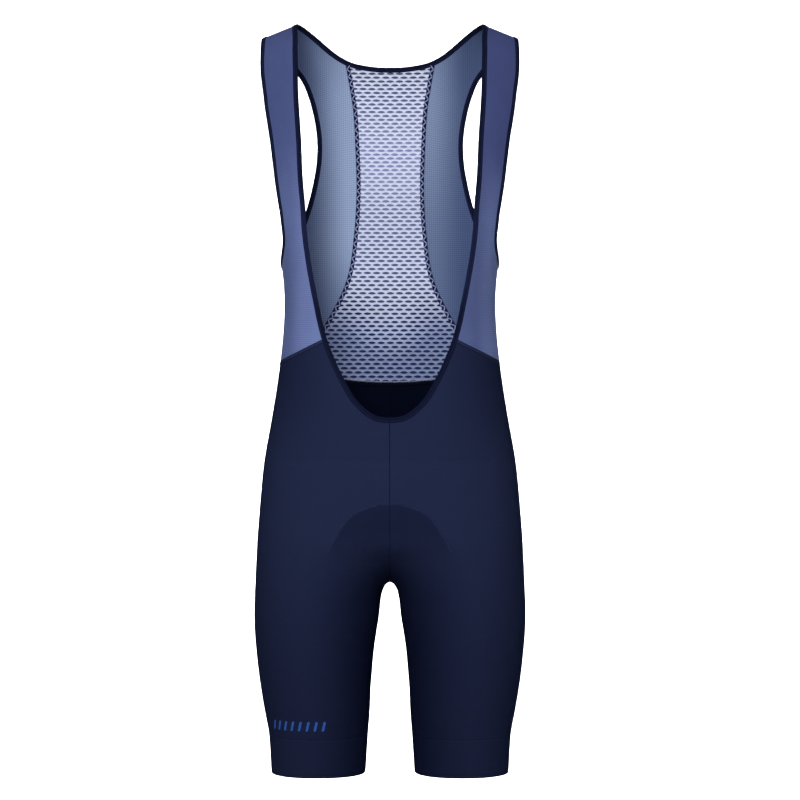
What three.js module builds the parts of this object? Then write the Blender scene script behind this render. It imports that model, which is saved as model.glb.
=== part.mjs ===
// Cycling bib shorts, filled out as when worn, with nobody inside: an open neck, two armholes and two legs.
// Millimetres. The front faces -Y, +X is the wearer's left, +Z is up, and z = 0 is the top of the shoulders
// at the inner edge of the straps. Every panel is a thin wall on one smooth figure.
import * as THREE from "three";

// Driving dimensions
const SEAM_GAP = 0.3;
const SEAM_SPARE = 0.02;
const CLOTH = 2.0;
const MESH_CLOTH = 1.6;
const BAND_CLOTH = 2.4;
const PAD_THICKNESS = 6;
const PAD_CLEARANCE = 2.2;
const BINDING_WIDTH = 6.5;
const BINDING_THICKNESS = 2.8;
const BINDING_LIP = 1.4;
const BINDING_LIP_DROP = 0.6;
const SIDE_WAIST_Z = -422;
const BACK_WAIST_Z = -446;
const YOKE_Z = -545;
const BAND_TOP_Z = -886;
const HEM_Z = -934;
const SHOULDER_SEAM_REACH = -12;
const ROUNDNESS = 2.2;

// The shoulders: a ridge that falls outwards, and an arch of this height from the ridge to the chest
const ARCH = 90;
const RIDGE_Y = 5;
const RIDGE_TOP = 53.5;
const RIDGE_SLOPE = 0.43;
const RIDGE_NECK = 50;
const RIDGE_FADE_END = 300;

// How many wall cells each stretch of a seam is cut into
const STRAP_SEAM_CELLS = 6;
const NECK_FRONT_CELLS = 8;
const SIDE_SEAM_CELLS = 6;
const ARMHOLE_CELLS = 16;
const BACK_NECK_CELLS = 7;
const BACK_SIDE_CELLS = 7;
const MESH_HALF_CELLS = 7;
const YOKE_CELLS = 6;
const SEAT_CELLS = 10;
const LEG_CELLS = 12;
const BAND_CELLS = 3;
const PAD_HALF_CELLS = 5;
const SADDLE_CROWDING = 2;
const INNER_CROWDING = 1.3;
const LONGEST_RAY = 260;

// How finely curves are sampled, and how many rounds a search takes
const SAMPLES_PER_CELL = 40;
const RAYS = 120;
const HALVINGS = 50;
const SETTLING_STEPS = 6;
const LONGEST_DROP = 700;
const CROTCH_BETWEEN = { low: -745, high: -650 };

// Torso, hips and legs: half width, depth to the front and to the back of the side seam
const FIGURE = [
  { z: 0, half: 176, front: 62, back: 78 },
  { z: -60, half: 175, front: 66, back: 84 },
  { z: -100, half: 174, front: 80, back: 91 },
  { z: -150, half: 170, front: 92, back: 97 },
  { z: -200, half: 163, front: 100, back: 99 },
  { z: -250, half: 150, front: 105, back: 98 },
  { z: -300, half: 135.6, front: 105, back: 93 },
  { z: -345, half: 131.3, front: 102, back: 86 },
  { z: -382, half: 132.5, front: 100, back: 80 },
  { z: -420, half: 136.2, front: 99, back: 78 },
  { z: -457, half: 141.3, front: 99, back: 82 },
  { z: -495, half: 147.5, front: 99, back: 91 },
  { z: -545, half: 156.3, front: 98, back: 104 },
  { z: -595, half: 161.3, front: 96, back: 114 },
  { z: -645, half: 165, front: 93, back: 117 },
  { z: -695, half: 167.5, front: 90, back: 111 },
  { z: -745, half: 168.8, front: 87, back: 103 },
  { z: -795, half: 165, front: 83, back: 94 },
  { z: -845, half: 158, front: 76, back: 84 },
  { z: -886, half: 150.6, front: 69, back: 75 },
  { z: -934, half: 147.3, front: 63, back: 68 },
];

// How far each leg's middle stands from the centre plane, and how softly the two legs run together
const STANCE = [
  { z: -545, apart: 0, blend: 0 },
  { z: -570, apart: 22, blend: 0.06 },
  { z: -600, apart: 45, blend: 0.12 },
  { z: -625, apart: 61, blend: 0.2 },
  { z: -650, apart: 74, blend: 0.3 },
  { z: -670, apart: 81, blend: 0.235 },
  { z: -697, apart: 87.9, blend: 0.15 },
  { z: -745, apart: 92.3, blend: 0.15 },
  { z: -771, apart: 93.4, blend: 0.15 },
  { z: -821, apart: 92.9, blend: 0.15 },
  { z: -886, apart: 89.3, blend: 0.15 },
  { z: -934, apart: 89.3, blend: 0.15 },
];

// The opening edge of the neckline, from the centre front over the shoulder to the centre back
const NECK_EDGE = [
  { x: 0, z: -491.2 },
  { x: 15.7, z: -489 },
  { x: 38.8, z: -471.2 },
  { x: 54.6, z: -445.7 },
  { x: 66.8, z: -420.2 },
  { x: 76.7, z: -394.6, mark: "strap seam" },
  { x: 86.3, z: -355.7 },
  { x: 96.2, z: -304.4 },
  { x: 103.6, z: -226 },
  { x: 107.5, z: -164.5 },
  { x: 112.6, z: -76.4 },
  { x: 114, z: -28 },
  { x: 112.5, reach: SHOULDER_SEAM_REACH, mark: "shoulder" },
  { x: 101, z: -5.3, back: true },
  { x: 90.2, z: -12.7, back: true },
  { x: 79, z: -21.3, back: true },
  { x: 65.8, z: -30.3, back: true },
  { x: 52, z: -37, back: true, mark: "mesh" },
  { x: 28, z: -42, back: true },
  { x: 0, z: -43.5, back: true },
];

// The opening edge of the armhole, from the underarm up the front and down the back; turn 0 is the side seam
const ARM_EDGE = [
  { turn: 0, z: -300 },
  { turn: 0.2, z: -293 },
  { x: 131.6, z: -273 },
  { x: 133.8, z: -249 },
  { x: 137.5, z: -224.5 },
  { x: 147.6, z: -150 },
  { x: 155.4, z: -100 },
  { x: 160.9, z: -46 },
  { x: 158, reach: SHOULDER_SEAM_REACH, mark: "shoulder" },
  { x: 143, z: -31, back: true },
  { x: 126, z: -48, back: true },
  { x: 113, z: -64, back: true },
  { x: 103.4, z: -87, back: true },
  { x: 97.4, z: -111, back: true },
  { x: 93.8, z: -142, back: true },
  { x: 97.9, z: -187, back: true },
  { x: 106.9, z: -225, back: true },
  { x: 118, z: -257, back: true },
  { x: 129, z: -282, back: true },
  { turn: 0.16, z: -297, back: true },
  { turn: 0, z: -300, back: true },
];

// The seam between the mesh and the back side panel, from the neck down to the back waist
const MESH_SEAM = [
  { x: 45, z: -99.9, back: true },
  { x: 42.6, z: -140, back: true },
  { x: 41.2, z: -212.5, back: true },
  { x: 44.4, z: -260, back: true },
  { x: 55.3, z: -322, back: true },
  { x: 82, z: -376.4, back: true },
];
const MESH_FOOT_X = 112;
const MESH_FOOT_TURN = 0.6;

// Half width of the pad on its way from the front, through between the legs, to the back
const PAD_FRONT_Z = -597;
const PAD_BACK_Z = -590;
const PAD_FRONT_CELLS = 8;
const PAD_BACK_CELLS = 8;
const PAD_OUTLINE = [
  { cell: 0, half: 14 },
  { cell: 1, half: 38 },
  { cell: 2, half: 54 },
  { cell: 4, half: 64 },
  { cell: 6, half: 54 },
  { cell: 8, half: 40 },
  { cell: 10, half: 50 },
  { cell: 12, half: 68 },
  { cell: 14, half: 70 },
  { cell: 15, half: 54 },
  { cell: 16, half: 22 },
];

const COLOURS = {
  navy: 0x1c2340,
  indigo: 0x545f8a,
  steel: 0x6c7aa6,
  lavender: 0xc6cbe0,
  binding: 0x14182c,
  pad: 0x1a1d2b,
};

// A smooth curve through known values
function through(places, values) {
  const steps = places.slice(1).map((p, i) => p - places[i]);
  const slopes = steps.map((step, i) => (values[i + 1] - values[i]) / step);
  const last = places.length - 1;
  const lean = places.map((_, i) => {
    if (i === 0) return slopes[0];
    if (i === last) return slopes[last - 1];
    return (steps[i] * slopes[i - 1] + steps[i - 1] * slopes[i]) / (steps[i - 1] + steps[i]);
  });
  return (place) => {
    let i = 0;
    while (i < last - 1 && place > places[i + 1]) i += 1;
    const t = (place - places[i]) / steps[i];
    const rest = 1 - t;
    return (
      values[i] * (1 + 2 * t) * rest * rest +
      lean[i] * steps[i] * t * rest * rest +
      values[i + 1] * (3 - 2 * t) * t * t -
      lean[i + 1] * steps[i] * rest * t * t
    );
  };
}

function column(table, key, name) {
  const rows = [...table].sort((a, b) => a[key] - b[key]);
  return through(rows.map((r) => r[key]), rows.map((r) => r[name]));
}

const halfWidth = column(FIGURE, "z", "half");
const frontDepth = column(FIGURE, "z", "front");
const backDepth = column(FIGURE, "z", "back");
const apart = column(STANCE, "z", "apart");
const blend = column(STANCE, "z", "blend");

const power = (value, exponent) => Math.sign(value) * Math.abs(value) ** exponent;
const mix = (a, b, t) => a + (b - a) * t;

// Torso: a point is given by turn, from 0 at the side seam to a right angle at the centre, and by reach,
// the way down the surface from the shoulder ridge, positive in front and negative behind.
const ridgeHeight = (x) => RIDGE_TOP - RIDGE_SLOPE * Math.hypot(x, RIDGE_NECK);

function ridgeShare(drop) {
  const t = Math.min(drop / RIDGE_FADE_END, 1);
  return 1 - t * t * (3 - 2 * t);
}

function dropOf(reach) {
  const way = Math.abs(reach);
  const quarter = (ARCH * Math.PI) / 2;
  return way < quarter ? ARCH * (1 - Math.cos(way / ARCH)) : ARCH + way - quarter;
}

function reachOf(drop) {
  if (drop >= ARCH) return (ARCH * Math.PI) / 2 + drop - ARCH;
  return ARCH * Math.acos(1 - Math.max(drop, 0) / ARCH);
}

function torso([turn, reach]) {
  const drop = dropOf(reach);
  const arch = Math.sin(Math.min(Math.abs(reach) / ARCH, Math.PI / 2));
  const depth = reach >= 0 ? -frontDepth(-drop) : backDepth(-drop);
  const x = halfWidth(-drop) * power(Math.cos(turn), 2 / ROUNDNESS);
  const y = depth * power(Math.sin(turn), 2 / ROUNDNESS);
  return new THREE.Vector3(x, RIDGE_Y * (1 - arch) + y * arch, ridgeHeight(x) * ridgeShare(drop) - drop);
}

function slopes([turn, reach]) {
  const dTurn = 0.01;
  const dReach = 1;
  return [
    torso([turn + dTurn, reach]).sub(torso([turn - dTurn, reach])).divideScalar(2 * dTurn),
    torso([turn, reach + dReach]).sub(torso([turn, reach - dReach])).divideScalar(2 * dReach),
  ];
}

// Outward normal of the torso
function torsoNormal(place) {
  const [alongTurn, alongReach] = slopes(place);
  return alongReach.cross(alongTurn).normalize().negate();
}

// The place on the torso that lies at a width and height, in front or behind
function placeAt(guide) {
  const sign = guide.back ? -1 : 1;
  let reach = guide.reach;
  if (reach === undefined) {
    let low = 0;
    let high = LONGEST_DROP;
    const ridge = ridgeHeight(guide.x ?? halfWidth(guide.z));
    for (let i = 0; i < HALVINGS; i += 1) {
      const drop = (low + high) / 2;
      if (ridge * ridgeShare(drop) - drop > guide.z) low = drop;
      else high = drop;
    }
    reach = sign * reachOf((low + high) / 2);
  }
  const share = Math.min(guide.x / halfWidth(-dropOf(reach)), 1);
  return [guide.turn ?? Math.acos(share ** (ROUNDNESS / 2)), reach];
}

// Moves a place on the torso until it meets a target point
function settle(place, target) {
  let [turn, reach] = place;
  for (let i = 0; i < SETTLING_STEPS; i += 1) {
    const off = target.clone().sub(torso([turn, reach]));
    const [a, b] = slopes([turn, reach]);
    const aa = a.dot(a);
    const ab = a.dot(b);
    const bb = b.dot(b);
    const det = aa * bb - ab * ab;
    turn += (off.dot(a) * bb - off.dot(b) * ab) / det;
    reach += (off.dot(b) * aa - off.dot(a) * ab) / det;
  }
  return [turn, reach];
}

// A curve on the torso through guide places; before and after are ghosts that set its direction at the ends
function edgeCurve(places, before, after) {
  const all = [...(before ? [before] : []), ...places, ...(after ? [after] : [])];
  const points = all.map(torso);
  const way = [0];
  points.slice(1).forEach((p, i) => way.push(way[i] + p.distanceTo(points[i])));
  const turn = through(way, all.map((p) => p[0]));
  const reach = through(way, all.map((p) => p[1]));
  const first = before ? 1 : 0;
  return { at: (w) => [turn(w), reach(w)], way: way.slice(first, first + places.length) };
}

// Places at equal steps along a curve from one guide to another
function stations(curve, from, to, cells) {
  const fine = SAMPLES_PER_CELL * cells;
  const start = curve.way[from];
  const end = curve.way[to];
  const samples = Array.from({ length: fine + 1 }, (_, i) => mix(start, end, i / fine));
  const points = samples.map((w) => torso(curve.at(w)));
  const lengths = [0];
  points.slice(1).forEach((p, i) => lengths.push(lengths[i] + p.distanceTo(points[i])));
  const total = lengths[fine];
  const found = [];
  let i = 0;
  for (let cell = 0; cell <= cells; cell += 1) {
    const want = (total * cell) / cells;
    while (i < fine - 1 && lengths[i + 1] < want) i += 1;
    const part = (want - lengths[i]) / (lengths[i + 1] - lengths[i]);
    found.push(curve.at(mix(samples[i], samples[i + 1], part)));
  }
  return found;
}

// The direction along the cloth, square to a line of places: side 1 or -1 chooses which way
function acrossAt(places, i, side, closed) {
  const count = places.length;
  const next = closed ? (i + 1) % count : Math.min(i + 1, count - 1);
  const last = closed ? (i + count - 1) % count : Math.max(i - 1, 0);
  const along = torso(places[next]).sub(torso(places[last]));
  return along.cross(torsoNormal(places[i])).normalize().multiplyScalar(side);
}

// The cloth's edge beside a bound edge
function besideBinding(places, side, before, after) {
  const all = [...(before ? [before] : []), ...places, ...(after ? [after] : [])];
  const first = before ? 1 : 0;
  return places.map((place, i) => {
    const across = acrossAt(all, i + first, side, false);
    const target = torso(place).addScaledVector(across, BINDING_WIDTH + SEAM_GAP / 2);
    return settle(place, target);
  });
}

// A patch of the torso between four lines of places that share their corners
function patch(bottom, top, left, right) {
  const columns = bottom.length - 1;
  const rows = left.length - 1;
  return left.map((_, row) =>
    bottom.map((_, col) => {
      const u = col / columns;
      const v = row / rows;
      return [0, 1].map(
        (k) =>
          mix(bottom[col][k], top[col][k], v) +
          mix(left[row][k], right[row][k], u) -
          mix(mix(bottom[0][k], bottom[columns][k], u), mix(top[0][k], top[columns][k], u), v),
      );
    }),
  );
}

// Hips and legs: below zero inside, above zero outside. Each leg is a rounded section, and a soft union joins them.
function legField(x, y, z) {
  const stand = Math.max(apart(z), 0);
  const half = halfWidth(z) - stand;
  const depth = y < 0 ? frontDepth(z) : backDepth(z);
  const soft = Math.max(blend(z), 1e-4);
  const deep = Math.abs(y / depth) ** ROUNDNESS;
  const near = (Math.abs((x - stand) / half) ** ROUNDNESS + deep) ** (1 / ROUNDNESS) - 1;
  const far = (Math.abs((x + stand) / half) ** ROUNDNESS + deep) ** (1 / ROUNDNESS) - 1;
  const closest = Math.min(near, far);
  return closest - soft * Math.log1p(Math.exp(-Math.abs(near - far) / soft));
}

function legSlope(p) {
  const d = 0.05;
  return new THREE.Vector3(
    legField(p.x + d, p.y, p.z) - legField(p.x - d, p.y, p.z),
    legField(p.x, p.y + d, p.z) - legField(p.x, p.y - d, p.z),
    legField(p.x, p.y, p.z + d) - legField(p.x, p.y, p.z - d),
  ).divideScalar(2 * d);
}

const legNormal = (p) => legSlope(p).normalize();

// The height at which the two legs part
function crotchHeight() {
  let { low, high } = CROTCH_BETWEEN;
  for (let i = 0; i < HALVINGS; i += 1) {
    const z = (low + high) / 2;
    if (legField(0, 0, z) > 0) low = z;
    else high = z;
  }
  return (low + high) / 2;
}
const CROTCH_Z = crotchHeight();

// Depth of the cloth in the centre plane, above the crotch
function centreDepth(z, side) {
  const stand = Math.max(apart(z), 0);
  const half = halfWidth(z) - stand;
  const depth = side < 0 ? frontDepth(z) : backDepth(z);
  const room = (1 + Math.max(blend(z), 0) * Math.LN2) ** ROUNDNESS - (stand / half) ** ROUNDNESS;
  return depth * Math.max(room, 0) ** (1 / ROUNDNESS);
}

// One level of a half leg, from the side seam round the front (side -1) or the back (side 1) to the inner seam
function legRow(z, side, cells) {
  const stand = Math.max(apart(z), 0);
  const end = z > CROTCH_Z ? Math.atan2(centreDepth(z, side), -stand) : Math.PI;
  const line = [];
  for (let i = 0; i <= RAYS; i += 1) {
    const angle = (end * i) / RAYS;
    let low = 0;
    let high = angle > Math.PI / 2 ? Math.min(LONGEST_RAY, -stand / Math.cos(angle)) : LONGEST_RAY;
    for (let k = 0; k < HALVINGS; k += 1) {
      const r = (low + high) / 2;
      if (legField(stand + r * Math.cos(angle), side * r * Math.sin(angle), z) < 0) low = r;
      else high = r;
    }
    line.push(new THREE.Vector3(stand + low * Math.cos(angle), side * low * Math.sin(angle), z));
  }
  const lengths = [0];
  line.slice(1).forEach((p, i) => lengths.push(lengths[i] + p.distanceTo(line[i])));
  const found = [];
  let i = 0;
  for (let cell = 0; cell <= cells; cell += 1) {
    const want = lengths[RAYS] * (1 - (1 - cell / cells) ** INNER_CROWDING);
    while (i < RAYS - 1 && lengths[i + 1] < want) i += 1;
    found.push(line[i].clone().lerp(line[i + 1], (want - lengths[i]) / (lengths[i + 1] - lengths[i])));
  }
  if (z > CROTCH_Z) found[cells].x = 0;
  return found;
}

// Walls: a grid of { point, normal } becomes one closed solid, half its thickness to each side
const torsoCell = (place) => ({ point: torso(place), normal: torsoNormal(place) });
const legCell = (point) => ({ point: point.clone(), normal: legNormal(point) });

// Draws the edges of a grid in by half a seam gap
function eased(grid, round) {
  const rows = grid.length - 1;
  const cols = grid[0].length - 1;
  const shift = (from, to) => to.point.clone().sub(from.point).setLength(SEAM_GAP / 2 + SEAM_SPARE);
  return grid.map((line, r) =>
    line.map((cell, c) => {
      const point = cell.point.clone();
      if (r === 0) point.add(shift(cell, grid[1][c]));
      if (r === rows) point.add(shift(cell, grid[rows - 1][c]));
      if (!round && c === 0) point.add(shift(cell, line[1]));
      if (!round && c === cols) point.add(shift(cell, line[cols - 1]));
      return { point, normal: cell.normal };
    }),
  );
}

function solidFrom(points, faces) {
  let volume = 0;
  const inward = new THREE.Vector3();
  faces.forEach(([a, b, c]) => {
    volume += points[a].dot(inward.copy(points[b]).cross(points[c]));
  });
  const index = faces.flatMap(([a, b, c]) => (volume < 0 ? [a, c, b] : [a, b, c]));
  const geometry = new THREE.BufferGeometry().setFromPoints(points);
  geometry.setIndex(index);
  geometry.computeVertexNormals();
  return geometry;
}

function wall(grid, thickness, round = false) {
  const rows = grid.length;
  const cols = grid[0].length;
  const at = (r, c, layer) => layer * rows * cols + r * cols + (c % cols);
  const points = [];
  [0.5, -0.5].forEach((side) =>
    grid.forEach((line) =>
      line.forEach(({ point, normal }) => points.push(point.clone().addScaledVector(normal, side * thickness))),
    ),
  );
  const faces = [];
  const quad = (a, b, c, d) => faces.push([a, b, c], [a, c, d]);
  const spans = round ? cols : cols - 1;
  for (let r = 0; r < rows - 1; r += 1)
    for (let c = 0; c < spans; c += 1) {
      quad(at(r, c, 0), at(r, c + 1, 0), at(r + 1, c + 1, 0), at(r + 1, c, 0));
      quad(at(r, c, 1), at(r + 1, c, 1), at(r + 1, c + 1, 1), at(r, c + 1, 1));
    }
  for (let c = 0; c < spans; c += 1) {
    quad(at(0, c, 0), at(0, c, 1), at(0, c + 1, 1), at(0, c + 1, 0));
    quad(at(rows - 1, c, 0), at(rows - 1, c + 1, 0), at(rows - 1, c + 1, 1), at(rows - 1, c, 1));
  }
  if (!round)
    for (let r = 0; r < rows - 1; r += 1) {
      quad(at(r, 0, 0), at(r + 1, 0, 0), at(r + 1, 0, 1), at(r, 0, 1));
      quad(at(r, cols - 1, 0), at(r, cols - 1, 1), at(r + 1, cols - 1, 1), at(r + 1, cols - 1, 0));
    }
  return solidFrom(points, faces);
}

// A flat bar with a rounded lip, run along a closed line of frames { point, across, normal }
function bar(frames) {
  const half = BINDING_THICKNESS / 2;
  const section = [
    [0, half - BINDING_LIP_DROP],
    [BINDING_LIP, half],
    [BINDING_WIDTH - SEAM_GAP, half],
    [BINDING_WIDTH - SEAM_GAP, -half],
    [BINDING_LIP, -half],
    [0, BINDING_LIP_DROP - half],
  ];
  const sides = section.length;
  const points = frames.flatMap(({ point, across, normal }) =>
    section.map(([a, n]) => point.clone().addScaledVector(across, a).addScaledVector(normal, n)),
  );
  const faces = [];
  frames.forEach((_, i) => {
    const here = i * sides;
    const next = ((i + 1) % frames.length) * sides;
    section.forEach((_, k) => {
      const m = (k + 1) % sides;
      faces.push([here + k, next + k, next + m], [here + k, next + m, here + m]);
    });
  });
  return solidFrom(points, faces);
}

const mirrored = (geometry) => {
  const copy = geometry.clone().applyMatrix4(new THREE.Matrix4().makeScale(-1, 1, 1));
  const index = copy.index.array;
  for (let i = 0; i < index.length; i += 3) [index[i + 1], index[i + 2]] = [index[i + 2], index[i + 1]];
  return copy;
};

// The edges and seams as lines of places, on the wearer's left half
const mark = (table, name) => table.findIndex((row) => row.mark === name);
const over = ([turn, reach]) => [Math.PI - turn, reach];
const neckPlaces = NECK_EDGE.map(placeAt);
const armPlaces = ARM_EDGE.map(placeAt);
const neckLast = NECK_EDGE.length - 1;
const neckCurve = edgeCurve(neckPlaces, over(neckPlaces[1]), over(neckPlaces[neckLast - 1]));

const armTop = mark(ARM_EDGE, "shoulder");
const round = ([turn, reach]) => [-turn, reach];
const armFrontCurve = edgeCurve(armPlaces.slice(0, armTop + 1), round(armPlaces[1]), armPlaces[armTop + 1]);
const armBackCurve = edgeCurve(
  armPlaces.slice(armTop),
  armPlaces[armTop - 1],
  round(armPlaces[armPlaces.length - 2]),
);

const strapMark = mark(NECK_EDGE, "strap seam");
const shoulderMark = mark(NECK_EDGE, "shoulder");
const meshMark = mark(NECK_EDGE, "mesh");
const strapRows = SIDE_SEAM_CELLS + ARMHOLE_CELLS;
const neckLow = stations(neckCurve, 0, strapMark, NECK_FRONT_CELLS);
const neckStrap = stations(neckCurve, strapMark, shoulderMark, strapRows);
const neckShoulder = stations(neckCurve, shoulderMark, meshMark, BACK_NECK_CELLS);
const neckMesh = stations(neckCurve, meshMark, neckLast, MESH_HALF_CELLS);
const armFront = stations(armFrontCurve, 0, armTop, ARMHOLE_CELLS);
const armBack = stations(armBackCurve, 0, armPlaces.length - 1 - armTop, ARMHOLE_CELLS);

// The neckline's places in order, and the cloth's edge beside each
const neckHalf = [...neckLow, ...neckStrap.slice(1), ...neckShoulder.slice(1), ...neckMesh.slice(1)];
const neckCloth = besideBinding(neckHalf, 1, over(neckHalf[1]), over(neckHalf[neckHalf.length - 2]));
const strapAt = NECK_FRONT_CELLS;
const shoulderAt = strapAt + strapRows;
const meshAt = shoulderAt + BACK_NECK_CELLS;
const armHalf = [...armFront, ...armBack.slice(1)];
const armCloth = besideBinding(armHalf, -1, round(armHalf[1]), round(armHalf[armHalf.length - 2]));
armCloth[0][0] = 0;
armCloth[armCloth.length - 1][0] = 0;

// A straight line of places between two ends
const line = (a, b, cells) =>
  Array.from({ length: cells + 1 }, (_, i) => [mix(a[0], b[0], i / cells), mix(a[1], b[1], i / cells)]);

const sideWaist = placeAt({ turn: 0, z: SIDE_WAIST_Z });
const sideYoke = placeAt({ turn: 0, z: YOKE_Z });

// The strap seam rises from the side seam to the neckline
function strapSeam() {
  const end = neckCloth[strapAt];
  const from = torso(sideWaist);
  const to = torso(end);
  return Array.from({ length: STRAP_SEAM_CELLS + 1 }, (_, i) => {
    const turn = (end[0] * i) / STRAP_SEAM_CELLS;
    const x = torso([turn, sideWaist[1]]).x;
    const share = (from.x - x) / (from.x - torso([end[0], sideWaist[1]]).x);
    return placeAt({ turn, z: mix(from.z, to.z, share) });
  });
}

// The back waist seam falls a little from the side seam to the centre back
const backWaistZ = (turn) => mix(SIDE_WAIST_Z, BACK_WAIST_Z, Math.sin(turn) ** 2);
const meshFoot = placeAt({ x: MESH_FOOT_X, z: backWaistZ(MESH_FOOT_TURN), back: true });
const backWaist = (from, to, cells) =>
  Array.from({ length: cells + 1 }, (_, i) => {
    const turn = mix(from, to, i / cells);
    return placeAt({ turn, z: backWaistZ(turn), back: true });
  });

const strapSeamLine = strapSeam();
const backWaistOuter = backWaist(0, meshFoot[0], BACK_SIDE_CELLS);
const backWaistInner = backWaist(meshFoot[0], Math.PI / 2, MESH_HALF_CELLS);

function meshSeam() {
  const places = [neckCloth[meshAt], ...MESH_SEAM.map(placeAt), backWaistInner[0]];
  return stations(edgeCurve(places), 0, places.length - 1, strapRows - BACK_NECK_CELLS);
}
const meshSeamLine = meshSeam();

function bibPanel() {
  const side = line(sideWaist, armCloth[0], SIDE_SEAM_CELLS);
  const outer = [...side, ...armCloth.slice(1, ARMHOLE_CELLS + 1)];
  const inner = neckCloth.slice(strapAt, shoulderAt + 1);
  const top = line(outer[strapRows], inner[strapRows], STRAP_SEAM_CELLS);
  return patch(strapSeamLine, top, outer, inner).map((row) => row.map(torsoCell));
}

function backSidePanel() {
  const side = line(armCloth[armCloth.length - 1], [0, -sideWaist[1]], SIDE_SEAM_CELLS);
  const outer = [...armCloth.slice(ARMHOLE_CELLS), ...side.slice(1)];
  const inner = [...neckCloth.slice(shoulderAt, meshAt), ...meshSeamLine];
  const top = line(outer[0], inner[0], BACK_SIDE_CELLS);
  return patch(top, backWaistOuter, outer, inner).map((row) => row.map(torsoCell));
}

function meshPanel() {
  const left = meshSeamLine;
  const right = left.map(over);
  const neck = neckCloth.slice(meshAt);
  const top = [...neck, ...neck.slice(0, -1).reverse().map(over)];
  const waist = [...backWaistInner, ...backWaistInner.slice(0, -1).reverse().map(over)];
  return patch(top, waist, left, right).map((row) => row.map(torsoCell));
}

// Levels that crowd towards the crotch, where the cloth turns fastest
function levels(from, to, cells) {
  return Array.from({ length: cells + 1 }, (_, i) => mix(to, from, (1 - i / cells) ** SADDLE_CROWDING));
}

function shortsPanel(side) {
  const cells = side < 0 ? STRAP_SEAM_CELLS + NECK_FRONT_CELLS : BACK_SIDE_CELLS + MESH_HALF_CELLS;
  const top =
    side < 0
      ? [...strapSeamLine, ...neckCloth.slice(0, strapAt).reverse()]
      : [...backWaistOuter, ...backWaistInner.slice(1)];
  const yokeRow = legRow(YOKE_Z, side, cells);
  const yoke = yokeRow.map((p, i) => {
    const share = Math.min(Math.max(p.x / halfWidth(YOKE_Z), 0), 1);
    return [i === cells ? Math.PI / 2 : Math.acos(share ** (ROUNDNESS / 2)), -side * sideYoke[1]];
  });
  const outer = line(top[0], yoke[0], YOKE_CELLS);
  const inner = line(top[cells], yoke[cells], YOKE_CELLS);
  const upper = patch(top, yoke, outer, inner).map((row) => row.map(torsoCell));
  const seat = levels(YOKE_Z, CROTCH_Z, SEAT_CELLS).slice(1);
  const leg = levels(BAND_TOP_Z, CROTCH_Z, LEG_CELLS).reverse().slice(1);
  const lower = [...seat, ...leg].map((z) => legRow(z, side, cells).map(legCell));
  return [...upper, ...lower];
}

function bandPanel() {
  const cells = STRAP_SEAM_CELLS + NECK_FRONT_CELLS;
  return Array.from({ length: BAND_CELLS + 1 }, (_, i) => {
    const z = mix(BAND_TOP_Z, HEM_Z, i / BAND_CELLS);
    const front = legRow(z, -1, cells);
    const back = legRow(z, 1, cells);
    return [...front, ...back.slice(1, -1).reverse()].map(legCell);
  });
}

function frames(places, side) {
  return places.map((place, i) => ({
    point: torso(place),
    normal: torsoNormal(place),
    across: acrossAt(places, i, side, true),
  }));
}

function neckBinding() {
  const other = neckHalf.slice(1, -1).reverse().map(over);
  return bar(frames([...neckHalf, ...other], 1));
}

// At the underarm the front and the back meet, so each half's line goes on past it the other way round
function armBinding() {
  const before = round(armHalf[1]);
  const after = round(armHalf[armHalf.length - 2]);
  const all = [before, ...armHalf, after];
  const made = armHalf.slice(0, -1).map((place, i) => ({
    point: torso(place),
    normal: torsoNormal(place),
    across: acrossAt(all, i + 1, -1, false),
  }));
  return bar(made);
}

// The pad lies inside the cloth, in cuts square to the centre seam
function padCentre() {
  const front = levels(PAD_FRONT_Z, CROTCH_Z, PAD_FRONT_CELLS);
  const back = levels(PAD_BACK_Z, CROTCH_Z, PAD_BACK_CELLS).reverse().slice(1);
  return [
    ...front.map((z) => new THREE.Vector3(0, -centreDepth(z, -1), z)),
    ...back.map((z) => new THREE.Vector3(0, centreDepth(z, 1), z)),
  ];
}

function padRow(centre, cell, half) {
  const before = centre[Math.max(cell - 1, 0)];
  const after = centre[Math.min(cell + 1, centre.length - 1)];
  const along = after.clone().sub(before).normalize();
  const step = half / PAD_HALF_CELLS;
  const heading = new THREE.Vector3(1, 0, 0);
  const row = [centre[cell].clone()];
  for (let i = 0; i < PAD_HALF_CELLS; i += 1) {
    const from = row[i];
    const point = from.clone().addScaledVector(heading, step);
    for (let k = 0; k < SETTLING_STEPS; k += 1) {
      const slope = legSlope(point);
      slope.addScaledVector(along, -slope.dot(along));
      point.addScaledVector(slope, -legField(point.x, point.y, point.z) / slope.lengthSq());
    }
    heading.copy(point).sub(from).normalize();
    row.push(point);
  }
  return row;
}

function padPanel() {
  const centre = padCentre();
  const outline = column(PAD_OUTLINE, "cell", "half");
  const inside = -(CLOTH / 2 + PAD_CLEARANCE + PAD_THICKNESS / 2);
  return centre.map((_, cell) => {
    const half = padRow(centre, cell, outline(cell)).map(legCell);
    const other = half.slice(1).reverse().map(({ point, normal }) => ({
      point: new THREE.Vector3(-point.x, point.y, point.z),
      normal: new THREE.Vector3(-normal.x, normal.y, normal.z),
    }));
    return [...other, ...half].map(({ point, normal }) => ({
      point: point.clone().addScaledVector(normal, inside),
      normal,
    }));
  });
}

function material(colour) {
  return new THREE.MeshStandardMaterial({ color: colour, roughness: 0.85, metalness: 0 });
}

const garment = new THREE.Group();

function add(name, geometry, colour) {
  const mesh = new THREE.Mesh(geometry, material(colour));
  mesh.name = name;
  garment.add(mesh);
}

function addPair(name, geometry, colour) {
  add(`${name}_left`, geometry, colour);
  add(`${name}_right`, mirrored(geometry), colour);
}

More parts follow.
